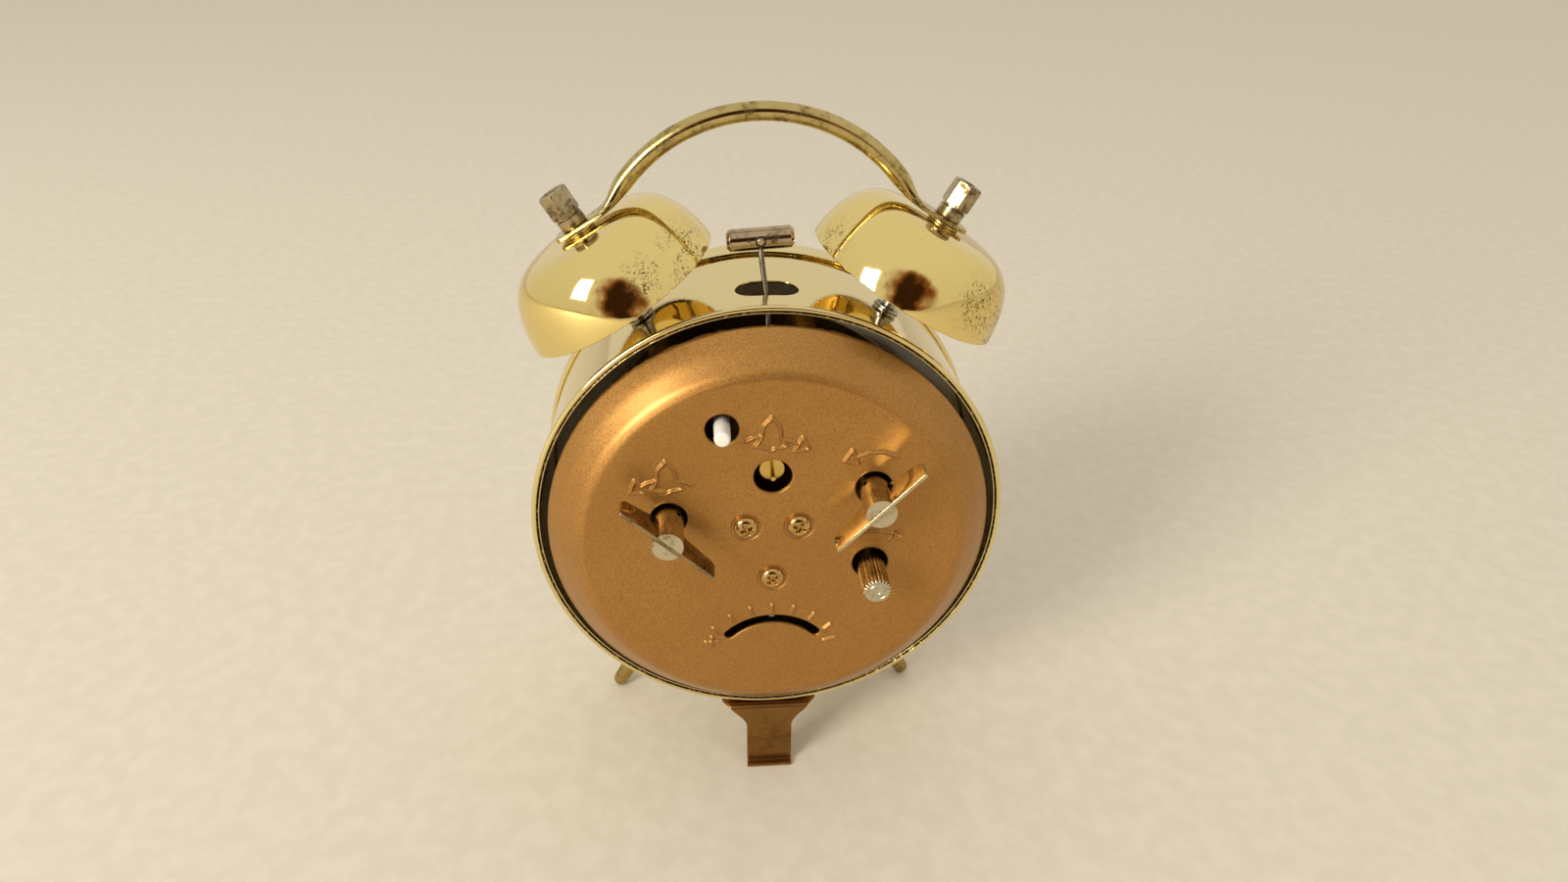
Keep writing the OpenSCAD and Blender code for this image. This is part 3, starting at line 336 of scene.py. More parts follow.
def lacqueredBrass(name, colour, spots=(), haze=0.05, base=0.045, pitSize=0.55, groove=None):
    # Brass-plated sheet, buffed to a mirror and lacquered: sharp warm reflections, a faint haze,
    # and freckles of tarnish where the lacquer has failed
    material, tree, shader = newMaterial(name)
    place = addNode(tree, "ShaderNodeTexCoord").outputs["Object"]
    cloud = addNode(tree, "ShaderNodeTexNoise", {
        "Vector": place, "Scale": 1 / (9 * mm), "Detail": 3.0, "Roughness": 0.55})
    freckle = addNode(tree, "ShaderNodeTexNoise", {
        "Vector": place, "Scale": 1 / (pitSize * mm), "Detail": 4.0, "Roughness": 0.7})
    patch = addNode(tree, "ShaderNodeTexNoise", {
        "Vector": place, "Scale": 1 / (3.2 * mm), "Detail": 3.0, "Roughness": 0.6})
    region = None   # the tarnished spots, joined
    for centre, radius in spots:
        away = addNode(tree, "ShaderNodeVectorMath", {0: place, 1: centre}, operation="DISTANCE")
        near = addNode(tree, "ShaderNodeMapRange", {
            "Value": away, "From Min": radius * mm, "From Max": radius * 0.25 * mm}, **soft)
        if region is not None:
            near = addNode(tree, "ShaderNodeMath", {0: region, 1: near}, operation="MAXIMUM")
        region = near
    if region is None:
        pits = addNode(tree, "ShaderNodeMapRange", {
            "Value": freckle, "From Min": 0.60, "From Max": 0.70}, **soft)
        worn = addNode(tree, "ShaderNodeMapRange", {
            "Value": patch, "From Min": 0.52, "From Max": 0.75, "To Max": 0.55}, **soft)
        tarnish = addNode(tree, "ShaderNodeMath", {0: pits, 1: worn}, operation="MULTIPLY")
    else:
        worn = addNode(tree, "ShaderNodeMapRange", {
            "Value": patch, "From Min": 0.4, "From Max": 0.56}, **soft)
        local = addNode(tree, "ShaderNodeMath", {0: region, 1: worn}, operation="MULTIPLY")
        rare = addNode(tree, "ShaderNodeMapRange", {
            "Value": freckle, "From Min": 0.64, "From Max": 0.72}, **soft)
        few = addNode(tree, "ShaderNodeMath", {0: rare, 1: 0.6}, operation="MULTIPLY")
        dense = addNode(tree, "ShaderNodeMapRange", {
            "Value": freckle, "From Min": 0.5, "From Max": 0.6}, **soft)
        many = addNode(tree, "ShaderNodeMath", {0: dense, 1: local}, operation="MULTIPLY")
        bare = addNode(tree, "ShaderNodeMapRange", {"Value": patch, "From Min": 0.5, "From Max": 0.7}, **soft)
        spread = addNode(tree, "ShaderNodeMath", {0: few, 1: bare}, operation="MULTIPLY")
        tarnish = addNode(tree, "ShaderNodeMath", {0: spread, 1: many}, operation="MAXIMUM")
    if groove:   # verdigris and dust in a turned groove of this radius, in dots
        flat = addNode(tree, "ShaderNodeMapping", {
            "Vector": place, "Location": (0, 0, -axisHeight * mm), "Scale": (1, 0, 1)})
        ring = addNode(tree, "ShaderNodeVectorMath", {0: flat}, operation="LENGTH")
        past = addNode(tree, "ShaderNodeMath", {0: ring, 1: groove * mm}, operation="SUBTRACT")
        off = addNode(tree, "ShaderNodeMath", {0: past}, operation="ABSOLUTE")
        within = addNode(tree, "ShaderNodeMapRange", {
            "Value": off, "From Min": 0.34 * mm, "From Max": 0.2 * mm}, **soft)
        depthAlong = addNode(tree, "ShaderNodeSeparateXYZ", {"Vector": place}).outputs["Y"]
        behind = addNode(tree, "ShaderNodeMapRange", {
            "Value": depthAlong, "From Min": (rimPlane - 0.3) * mm, "From Max": rimPlane * mm}, **soft)
        near = addNode(tree, "ShaderNodeMath", {0: within, 1: behind}, operation="MULTIPLY")
        dust = addNode(tree, "ShaderNodeTexNoise", {
            "Vector": place, "Scale": 1 / (0.8 * mm), "Detail": 3.0, "Roughness": 0.7})
        dots = addNode(tree, "ShaderNodeMapRange", {"Value": dust, "From Min": 0.38, "From Max": 0.5}, **soft)
        grime = addNode(tree, "ShaderNodeMath", {0: near, 1: dots}, operation="MULTIPLY")
        tarnish = addNode(tree, "ShaderNodeMath", {0: tarnish, 1: grime}, operation="MAXIMUM")
    share = addNode(tree, "ShaderNodeMath", {0: tarnish, 1: 0.92}, operation="MULTIPLY")
    tint = addNode(tree, "ShaderNodeMix", {0: share, 6: linear(colour), 7: linear("#3A220C")}, **colours)
    hazy = addNode(tree, "ShaderNodeMapRange", {
        "Value": cloud, "From Min": 0.3, "From Max": 0.75, "To Min": base, "To Max": base + haze}, **soft)
    dull = addNode(tree, "ShaderNodeMath", {0: tarnish, 1: 0.4}, operation="MULTIPLY")
    gloss = addNode(tree, "ShaderNodeMath", {0: hazy, 1: dull}, operation="ADD")
    sunk = addNode(tree, "ShaderNodeMath", {0: tarnish, 1: 0.08}, operation="MULTIPLY")
    relief = addNode(tree, "ShaderNodeMath", {0: cloud, 1: sunk}, operation="SUBTRACT")
    bump = addNode(tree, "ShaderNodeBump", {"Height": relief, "Distance": 0.03 * mm})
    setInputs(shader, {"Base Color": tint, "Metallic": 1.0, "Roughness": gloss, "Normal": bump})
    return material


def flakePaint(name):
    # Bronze-gold stoving paint with metal flake: a satin sheen that glitters very finely
    material, tree, shader = newMaterial(name)
    place = addNode(tree, "ShaderNodeTexCoord").outputs["Object"]
    flakes = addNode(tree, "ShaderNodeTexVoronoi", {"Vector": place, "Scale": 1 / (0.2 * mm)})
    flake = addNode(tree, "ShaderNodeSeparateColor", {"Color": flakes.outputs["Color"]}).outputs["Red"]
    cloud = addNode(tree, "ShaderNodeTexNoise", {
        "Vector": place, "Scale": 1 / (14 * mm), "Detail": 3.0, "Roughness": 0.55})
    dirt = addNode(tree, "ShaderNodeTexNoise", {
        "Vector": place, "Scale": 1 / (2.2 * mm), "Detail": 5.0, "Roughness": 0.7})
    grime = addNode(tree, "ShaderNodeMapRange", {
        "Value": dirt, "From Min": 0.66, "From Max": 0.85, "To Max": 0.2}, **soft)
    glint = addNode(tree, "ShaderNodeMapRange", {"Value": flake}, **soft)
    drift = addNode(tree, "ShaderNodeMapRange", {
        "Value": cloud, "From Min": 0.3, "From Max": 0.7, "To Max": 0.25}, **soft)
    fresh = addNode(tree, "ShaderNodeMix", {0: glint, 6: linear("#A07034"), 7: linear("#B88848")}, **colours)
    uneven = addNode(tree, "ShaderNodeMix", {0: drift, 6: fresh, 7: linear("#99692E")}, **colours)
    tint = addNode(tree, "ShaderNodeMix", {0: grime, 6: uneven, 7: linear("#5A3A12")}, **colours)
    gloss = addNode(tree, "ShaderNodeMapRange", {"Value": flake, "To Min": 0.34, "To Max": 0.44}, **soft)
    ripple = addNode(tree, "ShaderNodeTexNoise", {
        "Vector": place, "Scale": 1 / (1.1 * mm), "Detail": 2.0, "Roughness": 0.55})
    raised = addNode(tree, "ShaderNodeMath", {0: flake, 1: 0.2}, operation="MULTIPLY")
    peel = addNode(tree, "ShaderNodeMath", {0: raised, 1: ripple}, operation="ADD")
    bump = addNode(tree, "ShaderNodeBump", {"Height": peel, "Distance": 0.006 * mm})
    setInputs(shader, {"Base Color": tint, "Metallic": 0.8, "Roughness": gloss, "Normal": bump,
                       "Coat Weight": 0.15, "Coat Roughness": 0.22})
    return material


def paint(name, colour, other, rough, grain=0.8, depth=0.004):
    # Sprayed or moulded colour with a slight mottle
    material, tree, shader = newMaterial(name)
    place = addNode(tree, "ShaderNodeTexCoord").outputs["Object"]
    grainy = addNode(tree, "ShaderNodeTexNoise", {
        "Vector": place, "Scale": 1 / (grain * mm), "Detail": 4.0, "Roughness": 0.55})
    mottle = addNode(tree, "ShaderNodeMapRange", {"Value": grainy, "From Min": 0.35, "From Max": 0.7}, **soft)
    tint = addNode(tree, "ShaderNodeMix", {0: mottle, 6: linear(colour), 7: linear(other)}, **colours)
    gloss = addNode(tree, "ShaderNodeMapRange", {
        "Value": grainy, "From Min": 0.3, "From Max": 0.7, "To Min": rough - 0.04, "To Max": rough + 0.06},
        **soft)
    bump = addNode(tree, "ShaderNodeBump", {"Height": grainy, "Distance": depth * mm})
    setInputs(shader, {"Base Color": tint, "Roughness": gloss, "Normal": bump})
    return material


def mineralGlass(name):
    # Flat mineral glass: clear down to the dial, with a hard sheen where it mirrors the window
    material, tree, shader = newMaterial(name)
    place = addNode(tree, "ShaderNodeTexCoord").outputs["Object"]
    smear = addNode(tree, "ShaderNodeTexNoise", {
        "Vector": place, "Scale": 1 / (20 * mm), "Detail": 3.0, "Roughness": 0.55})
    gloss = addNode(tree, "ShaderNodeMapRange", {
        "Value": smear, "From Min": 0.3, "From Max": 0.8, "To Max": 0.03}, **soft)
    setInputs(shader, {"Base Color": linear("#2C332F"), "IOR": 2.2, "Alpha": 0.15, "Roughness": gloss})
    return material


def bellSpot(side, around, along, radius):   # a place on a bell: angle about its axis, height
    reach = bell["diameter"] / 2 * 0.86
    point = bellFrame(side) @ Vector((reach * math.cos(math.radians(around)),
                                      reach * math.sin(math.radians(around)), along))
    return tuple(caseFrame @ point), radius


drum = {
    "radius": 52.0, "wall": 0.6, "rollRadius": 0.7, "columns": 288,
    "front": -39.1, "slotAt": -12.5, "slotLength": 13.7, "slotWidth": 8.5, "rowStep": 1.1, "window": 8,
    "rollAt": 52.3, "groove": 51.7, "lipAt": 51.38, "lipRadius": 0.2,
}
bell = {
    "tilt": 30.8, "lean": 0.5, "setBack": 15.8, "diameter": 45.0, "height": 15.4, "wall": 0.8,
    "mouth": 59.2, "bulge": (5.5, 1.5), "steps": 40, "bore": 1.45,
}
bellTop = bell["mouth"] + bell["height"]


def bellFrame(side):   # local +Z along a bell's axis; side 1 is +X
    return (Matrix.Translation((0, -bell["setBack"], 0))
            @ Matrix.Rotation(math.radians(bell["lean"] + side * bell["tilt"]), 4, "Y"))


caseBrass = lacqueredBrass("caseBrass", "#E6D398", haze=0.05, base=0.05, groove=drum["groove"])


def drumMesh():
    radius, inner, roll = drum["radius"], drum["radius"] - drum["wall"], drum["rollRadius"]
    columns, window, step = drum["columns"], drum["window"], drum["rowStep"]
    rows = [drum["slotAt"] + k * step for k in range(-24, 11)]
    rows = [drum["front"]] + [y for y in rows if drum["front"] + 0.4 < y < -0.8] + [-0.66]
    first = min(range(len(rows)), key=lambda k: abs(rows[k] - (drum["slotAt"] - 5 * step)))
    last = first + 10
    # the rolled rear edge: outer roll, corroded groove, inner lip
    bead = [(drum["rollAt"] + roll * math.cos(math.radians(a)), roll * math.sin(math.radians(a)))
            for a in range(-100, 141, 15)]
    bead += [(51.72, 0.24), (51.66, 0.1), (51.58, 0.16)]
    lip = drum["lipRadius"]
    bead += [(drum["lipAt"] + lip * math.cos(math.radians(a)), 0.24 + lip * math.sin(math.radians(a)))
             for a in range(0, 181, 30)]
    profile = [(radius, y) for y in rows] + bead + [(inner - 0.2, -0.2)] + \
        [(inner, y) for y in reversed(rows)]
    verts, faces = [], []
    for r, y in profile:
        for i in range(columns):
            a = 2 * math.pi * i / columns
            verts.append(Vector((r * math.sin(a), y, r * math.cos(a))))
    start = len(verts) // columns - len(rows)
    hole = set(range(first, last))

    def inWindow(k, i):
        side = i < window or i >= columns - window
        if not side:
            return False
        return k in hole or (k >= start and (len(rows) - 2 - (k - start)) in hole)

    for k in range(len(profile)):
        up = (k + 1) % len(profile)
        for i in range(columns):
            if not inWindow(k, i):
                j = (i + 1) % columns
                faces.append([k * columns + i, k * columns + j, up * columns + j, up * columns + i])
    # round the window down to the long hole, outside and inside, and join the two through the sheet
    border = [(i, first) for i in range(-window, window)] + [(window, k) for k in range(first, last)]
    border += [(i, last) for i in range(window, -window, -1)]
    border += [(-window, k) for k in range(last, first, -1)]
    core, reach = (drum["slotLength"] - drum["slotWidth"]) / 2, drum["slotWidth"] / 2
    rings = []
    for r, grow in ((radius, 0.55), (radius, 0.12), (radius - 0.12, 0.0), (inner + 0.1, 0.0), (inner, 0.1)):
        ring = []
        for i, k in border:
            s, t = 2 * math.pi * i / columns * radius, rows[k] - drum["slotAt"]
            c = max(-core, min(core, s))
            out = Vector((s - c, t)).normalized() * (reach + grow)
            s, t = c + out.x, out.y
            ring.append(len(verts))
            verts.append(Vector((r * math.sin(s / radius), drum["slotAt"] + t, r * math.cos(s / radius))))
        rings.append(ring)
    outer = [k * columns + i % columns for i, k in border]
    within = [(len(profile) - 1 - k) * columns + i % columns for i, k in border]
    for low, high in zip([outer] + rings, rings + [within]):
        for n in range(len(border)):
            m = (n + 1) % len(border)
            faces.append([low[n], low[m], high[m], high[n]])
    return makeMesh("case_shell", verts, faces, sharp=50)


addPiece("case_shell", drumMesh(), caseBrass, "lacquered_brass", "case_drum")

bezel = {"inner": 46.2, "outer": 53.0, "front": -42.0}


def bezelMesh():
    front, outer = bezel["front"], bezel["outer"]
    outline = [(52.05, front + 2.9, 0), (52.05, front + 8, 0.1), (52.8, front + 8, 0.25),
               (outer, front + 7, 0.6), (outer, front + 2.2, 1.0), (52.2, front + 0.8, 1.2),
               (50.6, front, 1.5), (48.4, front + 0.5, 1.2), (47.3, front + 1.5, 0.5),
               (bezel["inner"], front + 2.3, 0.3), (bezel["inner"], front + 2.9, 0)]
    return makeMesh("bezel_ring", *lathe(rounded(outline, 5), 192), alongAxis)


addPiece("bezel_ring", bezelMesh(), caseBrass, "lacquered_brass", "front_bezel")
print("case ready")


def bellMesh(name, side):
    power, rise = bell["bulge"]

    def shell(r, h, count):
        points = []
        for k in range(count + 1):
            a = math.pi / 2 * k / count
            points.append((r * math.cos(a) ** (2 / power) if k < count else 0.0,
                           bell["mouth"] + h * math.sin(a) ** (2 / rise)))
        return points
    r, wall = bell["diameter"] / 2, bell["wall"]
    outside = shell(r, bell["height"], bell["steps"])
    inside = shell(r - wall, bell["height"] - wall, bell["steps"])
    lip = [(r - wall + 0.08, bell["mouth"]), (r - 0.12, bell["mouth"])]
    outside[0] = (r, bell["mouth"] + 0.12)
    bore = bell["bore"]
    profile = [p for p in outside if p[0] > bore] + [(bore, bellTop), (bore, bellTop - wall)]
    profile += [p for p in reversed(inside) if p[0] > bore] + lip
    return makeMesh(name, *lathe(profile, 160), bellFrame(side), sharp=50)


leftBrass = lacqueredBrass("leftBellBrass", "#EBD48C", [bellSpot(1, 150, 61.5, 11), bellSpot(1, 120, 63, 8)],
                           haze=0.03, base=0.035)
rightBrass = lacqueredBrass("rightBellBrass", "#EBD48C", [bellSpot(-1, 20, 61, 8), bellSpot(-1, 150, 64, 12),
                                                          bellSpot(-1, 120, 66, 9)],
                            haze=0.03, base=0.035)
addPiece("bell_left", bellMesh("bell_left", 1), leftBrass, "lacquered_brass", "left_bell")
addPiece("bell_right", bellMesh("bell_right", -1), rightBrass, "lacquered_brass", "right_bell")

agedNickel = metalFinish("agedNickel", "#B3A27E", "#6E5C3A", 0.2, 0.45, grain=0.9, wear=0.7, clean=0.52)
zincSteel = metalFinish("zincSteel", "#BDB9AE", "#7B7360", 0.24, 0.45, grain=0.8, wear=0.4)
spacerBrass = metalFinish("spacerBrass", "#CDB06A", "#7A5B2A", 0.22, 0.45, grain=0.7, wear=0.45)
bothBells = [bellFrame(side) for side in (1, -1)]
stack = {"spacer": 0.6, "tab": 1.0, "spacerRadius": 3.6, "nut": 8.2, "flats": 5.8, "post": 1.6,
         "washer": 1.0, "washerRadius": 3.1}


def bellNut():   # a hexagon over a round collar, chamfered by turning
    nut, apothem = stack["nut"], stack["flats"] / 2
    corner = apothem / math.cos(math.radians(30))
    collar = nut / 3
    profile = [(1.2, 0), (apothem - 0.25, 0), (apothem - 0.05, 0.2), (apothem, 0.4), (apothem, collar - 0.5),
               (apothem - 0.35, collar - 0.35), (apothem - 0.35, collar - 0.1), (corner, collar)]
    profile += [(corner, collar + 0.25), (corner, collar + 1), (corner, nut - 1.2), (corner, nut - 0.7),
                (corner, nut - 0.45), (corner, nut - 0.25), (corner, nut - 0.1), (apothem - 0.5, nut),
                (2.0, nut), (1.75, nut - 0.25), (0, nut - 0.4)]

    def sixSided(r, h, a):
        if h < collar - 0.05 or r < apothem - 0.2:
            return r
        flat = apothem / math.cos((a + math.pi / 6) % (math.pi / 3) - math.pi / 6)
        edge = min(corner - 0.1, apothem + 1.5 * (nut - h) - 0.12, apothem + 2.2 * (h - collar) + 0.05)
        return min(flat, edge)
    return lathe(profile, 96, closed=False, radius=sixSided)


def atHeight(height):
    return [place @ Matrix.Translation((0, 0, height)) for place in bothBells]


nutBase = bellTop + stack["spacer"] + stack["tab"]
addPiece("bell_cap_nuts", repeated("bell_cap_nuts", bellNut(), atHeight(nutBase), agedNickel, sharp=25),
         agedNickel, "aged_nickel", "bell_nuts")
wide, thick = stack["spacerRadius"], stack["spacer"]
spacer = lathe(rounded([(1.4, 0, 0), (wide, 0, 0.15), (wide, thick, 0.15), (1.4, thick, 0)]), 64)
addPiece("spacer_discs", repeated("spacer_discs", spacer, atHeight(bellTop), spacerBrass),
         spacerBrass, "tinted_nickel", "bell_spacers")
post = lathe(rounded([(0, 50, 0), (1.3, 50, 0), (1.3, 53.2, 0), (stack["post"], 53.4, 0.1),
                      (stack["post"], bellTop - bell["wall"], 0), (1.3, bellTop - bell["wall"], 0),
                      (1.3, nutBase + 6, 0), (0, nutBase + 6, 0)]), 48, closed=False)
addPiece("post_rods", repeated("post_rods", post, atHeight(0), zincSteel), zincSteel, "zinc_steel",
         "bell_posts")
low, wide = drum["radius"] + 0.3, stack["washerRadius"]
washer = joined([
    lathe(rounded([(1.3, low, 0), (wide, low, 0.1), (wide, low + 0.42, 0.1), (1.3, low + 0.42, 0)]), 64),
    lathe(rounded([(1.3, low + 0.48, 0), (2.8, low + 0.48, 0.1), (2.8, low + stack["washer"], 0.15),
                   (1.3, low + stack["washer"], 0)]), 64)])
addPiece("post_washer_stack", repeated("post_washer_stack", washer, atHeight(0), zincSteel), zincSteel,
         "zinc_steel", "post_washers")
print("bells ready")


handleShape = {"tube": 3.9, "arch": 36.3, "tabWidth": 6.4, "tabLength": 10.5, "tabReach": 4.6}


def handleMesh():
    tilt = math.radians(bell["tilt"])
    along, inward = Vector((math.sin(tilt), 0, math.cos(tilt))), Vector((-math.cos(tilt), 0, math.sin(tilt)))
    tabHeight = bellTop + stack["spacer"] + stack["tab"] / 2
    endHeight = bellTop + stack["spacer"] + handleShape["tube"] / 2 - 0.2
    end = along * endHeight + inward * handleShape["tabLength"]
    arch = handleShape["arch"]
    centreZ = end.z - math.sqrt(arch ** 2 - end.x ** 2)
    first = math.atan2(end.z - centreZ, end.x)
    halfTab = handleShape["tabWidth"] / 2
    half = []   # (point, flatness, share of the tab's width) from the tip of the tab to the top of the arch
    corner = 1.1
    for k in range(7):
        a = math.pi / 2 * k / 6
        s = -handleShape["tabReach"] + corner * (1 - math.cos(a))
        half.append((along * tabHeight + inward * s, 1.0, 1 - corner * (1 - math.sin(a)) / halfTab))
    half.append((along * tabHeight - inward * 1.5, 1.0, 1.0))
    for s in (1.5, 3.0, 4.2):
        half.append((along * tabHeight + inward * s, 1.0, 1.0))
    joinAngle = first + math.radians(7)
    p0 = along * tabHeight + inward * 4.8
    p3 = Vector((arch * math.cos(joinAngle), 0, centreZ + arch * math.sin(joinAngle)))
    d3 = Vector((-math.sin(joinAngle), 0, math.cos(joinAngle)))
    p1, p2 = p0 + inward * 4.0, p3 - d3 * 4.2
    for k in range(15):
        t = k / 14
        point = (p0 * (1 - t) ** 3 + p1 * (3 * t * (1 - t) ** 2) + p2 * (3 * t * t * (1 - t)) + p3 * t ** 3)
        ease = 1 - t
        half.append((point, ease * ease * (3 - 2 * ease), 1.0))
    steps = 44
    for k in range(1, steps + 1):
        a = joinAngle + (math.pi / 2 - joinAngle) * k / steps
        half.append((Vector((arch * math.cos(a), 0, centreZ + arch * math.sin(a))), 0.0, 1.0))
    path = [p for p, f, w in half] + [Vector((-p.x, 0, p.z)) for p, f, w in reversed(half[:-1])]
    shape = [(f, w) for p, f, w in half] + [(f, w) for p, f, w in reversed(half[:-1])]
    radius, sections = handleShape["tube"] / 2, []
    for flat, width in shape:
        wide = (radius + (halfTab - radius) * flat) * width
        thick = radius + (stack["tab"] / 2 - radius) * flat
        power = 1 - 0.68 * flat
        ring = []
        for k in range(48):
            a = 2 * math.pi * k / 48
            c, s = math.cos(a), math.sin(a)
            u = wide * math.copysign(abs(c) ** power, c)
            v = thick * math.copysign(abs(s) ** power, s)
            if flat > 0.5 and k in (0, 24):   # the fold line between the two flattened walls
                u *= 0.94
            ring.append((u, v))
        sections.append(ring)
    place = Matrix.Translation((0, -bell["setBack"], 0)) @ Matrix.Rotation(math.radians(bell["lean"]), 4, "Y")
    return makeMesh("handle_tube", *sweep(path, Vector((0, 1, 0)), sections), place, sharp=60)


handleBrass = metalFinish("handleBrass", "#C3AE72", "#84703F", 0.12, 0.34, grain=1.1, wear=0.5, clean=0.54)
addPiece("handle_tube", handleMesh(), handleBrass, "lacquered_brass", "handle")

hammer = {"length": 14.1, "diameter": 4.7, "at": (1.4, -12.5, 62.8), "pivot": (-0.9, -3.2, 30.0),
          "wire": 1.15}
headAt, hubAt = Vector(hammer["at"]), Vector(hammer["pivot"])
hammerTilt = math.atan2(headAt.x - hubAt.x, headAt.z - hubAt.z)
headFrame = Matrix.Translation(headAt) @ Matrix.Rotation(hammerTilt, 4, "Y")


def hammerHead():
    half, r = hammer["length"] / 2, hammer["diameter"] / 2
    outline = [(0, -half, 0), (r - 0.75, -half, 0.12), (r, -half + 0.7, 0.15), (r, half - 0.7, 0.15),
               (r - 0.75, half, 0.12), (0, half, 0)]
    body = moved(lathe(rounded(outline, 4, closed=False), 72, closed=False),
                 Matrix.Rotation(math.pi / 2, 4, "Y"))
    outward = Matrix.Rotation(math.radians(-90), 4, "X")   # the riveted end looks back
    rivetOutline = [(0, r + 0.3, 0), (0.6, r + 0.28, 0.12), (0.82, r + 0.1, 0.04), (0.82, r - 0.7, 0),
                    (0, r - 0.7, 0)]
    rivet = moved(lathe(rounded(rivetOutline, 3, closed=False), 40, closed=False), outward)
    return makeMesh("hammer_block", *joined([body, rivet]), headFrame, sharp=32)


def rivetCollar():   # the dark ring round the wire's riveted end
    r = hammer["diameter"] / 2
    outline = [(0.84, r + 0.12, 0.04), (1.16, r + 0.12, 0.08), (1.2, r - 0.6, 0), (0.84, r - 0.6, 0)]
    return makeMesh("rivet_collar", *lathe(rounded(outline, 3), 40),
                    headFrame @ Matrix.Rotation(math.radians(-90), 4, "X"))


copperNickel = metalFinish("copperNickel", "#B8A183", "#5A4632", 0.14, 0.36, grain=0.8, wear=0.45)
wireSteel = metalFinish("wireSteel", "#8F8776", "#4C4334", 0.25, 0.45, grain=0.6, wear=0.5)
blackenedSteel = metalFinish("blackenedSteel", "#4A4036", "#2C241C", 0.4, 0.55, grain=0.4)
addPiece("hammer_block", hammerHead(), copperNickel, "copper_nickel", "hammer_head")
addPiece("rivet_collar", rivetCollar(), blackenedSteel, "plain_steel", body=bodyOf["hammer_head"])


def hammerWire():
    start = hubAt + (headAt - hubAt) * 0.05
    path = []
    for k in range(31):
        t = k / 30
        sway = 0.35 * math.sin(math.pi * t) * math.sin(2.4 * math.pi * t)
        path.append(start.lerp(headAt, t * 0.985) + Vector((sway, 0.25 * math.sin(math.pi * t), 0)))
    r = hammer["wire"] / 2
    ring = [(r * math.cos(2 * math.pi * k / 20), r * math.sin(2 * math.pi * k / 20)) for k in range(20)]
    return makeMesh("hammer_rod", *sweep(path, Vector((1, 0, 0)), [ring] * len(path)), sharp=60)


addPiece("hammer_rod", hammerWire(), wireSteel, "plain_steel", "hammer_wire")
print("handle and hammer ready")


cover = {
    "outline": [(49.2, 1.55, 0), (49.2, 2.35, 0.45), (46.4, 5.75, 4.0), (42.7, 9.15, 1.6), (40.9, 10.0, 1.3),
                (30.0, 10.0, 0)],
    "rim": 49.2, "grid": 1.25, "fine": 0.16, "thickness": 0.6, "shaftHole": 4.0, "setHole": 4.1,
    "pinHole": 3.55, "screwHole": 1.5, "dimple": 3.6, "dimpleDepth": 0.28,
    "slotRadius": 13.9, "slotWidth": 2.3, "slotHalf": 45.0, "ridge": 0.6, "ridgeWidth": 0.6,
}
bellSign = [(-3.3, 0.3), (-2.6, 1.2), (-2.0, 2.4), (-1.85, 4.0), (-1.6, 5.1), (-0.95, 5.9), (-0.4, 6.4),
            (0.0, 7.1), (0.4, 6.4), (0.95, 5.9), (1.6, 5.1), (1.85, 4.0), (2.0, 2.4), (2.6, 1.2), (3.3, 0.3),
            (1.8, -0.1), (0.8, -0.2), (0.0, -0.8), (-0.8, -0.2), (-1.8, -0.1), (-3.3, 0.3)]


def sign(points, x, z, turn=0.0):
    c, s = math.cos(math.radians(turn)), math.sin(math.radians(turn))
    return [(x + px * c - pz * s, z + px * s + pz * c) for px, pz in points]


def arrow(points, size=1.9):   # a line that ends in an open triangle
    (ax, az), (bx, bz) = points[-2:]
    ahead = Vector((bx - ax, bz - az)).normalized()
    side = Vector((-ahead.y, ahead.x))
    tip = Vector((bx, bz)) + ahead * size * 1.3
    left, right = Vector((bx, bz)) + side * size, Vector((bx, bz)) - side * size
    return [points, [tuple(tip), tuple(left), tuple(right), tuple(tip)]]


clickAt = {name: centreOf(node) for name, node in (("time", "time_key"), ("alarm", "alarm_key"),
                                                   ("set", "set_knob"), ("pin", "alarm_stop_pin"))}
setHoleAt = (0.0, 18.45)
screwsAt = [(5.75, 5.85), (-5.75, 5.85), (0.0, -7.7)]
balanceAt = (0.0, -33.2)


def signLines():
    lines = [sign(bellSign, 22.2, 16.0, -1), sign(bellSign, 0.4, 25.6, 1)]
    lines += arrow([(24.6, 18.4), (26.4, 17.9), (27.8, 17.0)]) + [[(19.8, 18.2), (18.4, 17.9), (17.1, 17.2)]]
    lines += arrow([(-2.2, 27.4), (-4.0, 26.9), (-5.3, 26.2)]) + [[(5.5, 27.3), (4.2, 28.0), (2.6, 28.3)]]
    lines += arrow([(-26.0, 22.6), (-23.3, 23.7), (-20.1, 23.7), (-17.3, 22.7)])
    lines += arrow([(-16.5, 2.6), (-19.6, 3.9), (-23.1, 4.0), (-26.2, 3.2)])
    for k in range(-3, 4):   # seven strokes fanned over the regulator slot
        a = math.radians(90 + k * 16)
        inner = cover["slotRadius"] + 2.0
        outer = inner + 2.1
        lines.append([(balanceAt[0] + r * math.cos(a), balanceAt[1] + r * math.sin(a))
                      for r in (inner, outer)])
    lines += [[(12.4, -25.1), (15.2, -25.1)], [(13.8, -26.5), (13.8, -23.7)],
              [(-12.0, -25.8), (-14.8, -25.0)]]   # faster and slower
    return lines


def segmentDistance(x, z, lines):
    best = np.full(x.shape, 99.0)
    for line in lines:
        for (ax, az), (bx, bz) in zip(line, line[1:]):
            dx, dz = bx - ax, bz - az
            t = np.clip(((x - ax) * dx + (z - az) * dz) / (dx * dx + dz * dz), 0, 1)
            best = np.minimum(best, np.hypot(x - ax - t * dx, z - az - t * dz))
    return best


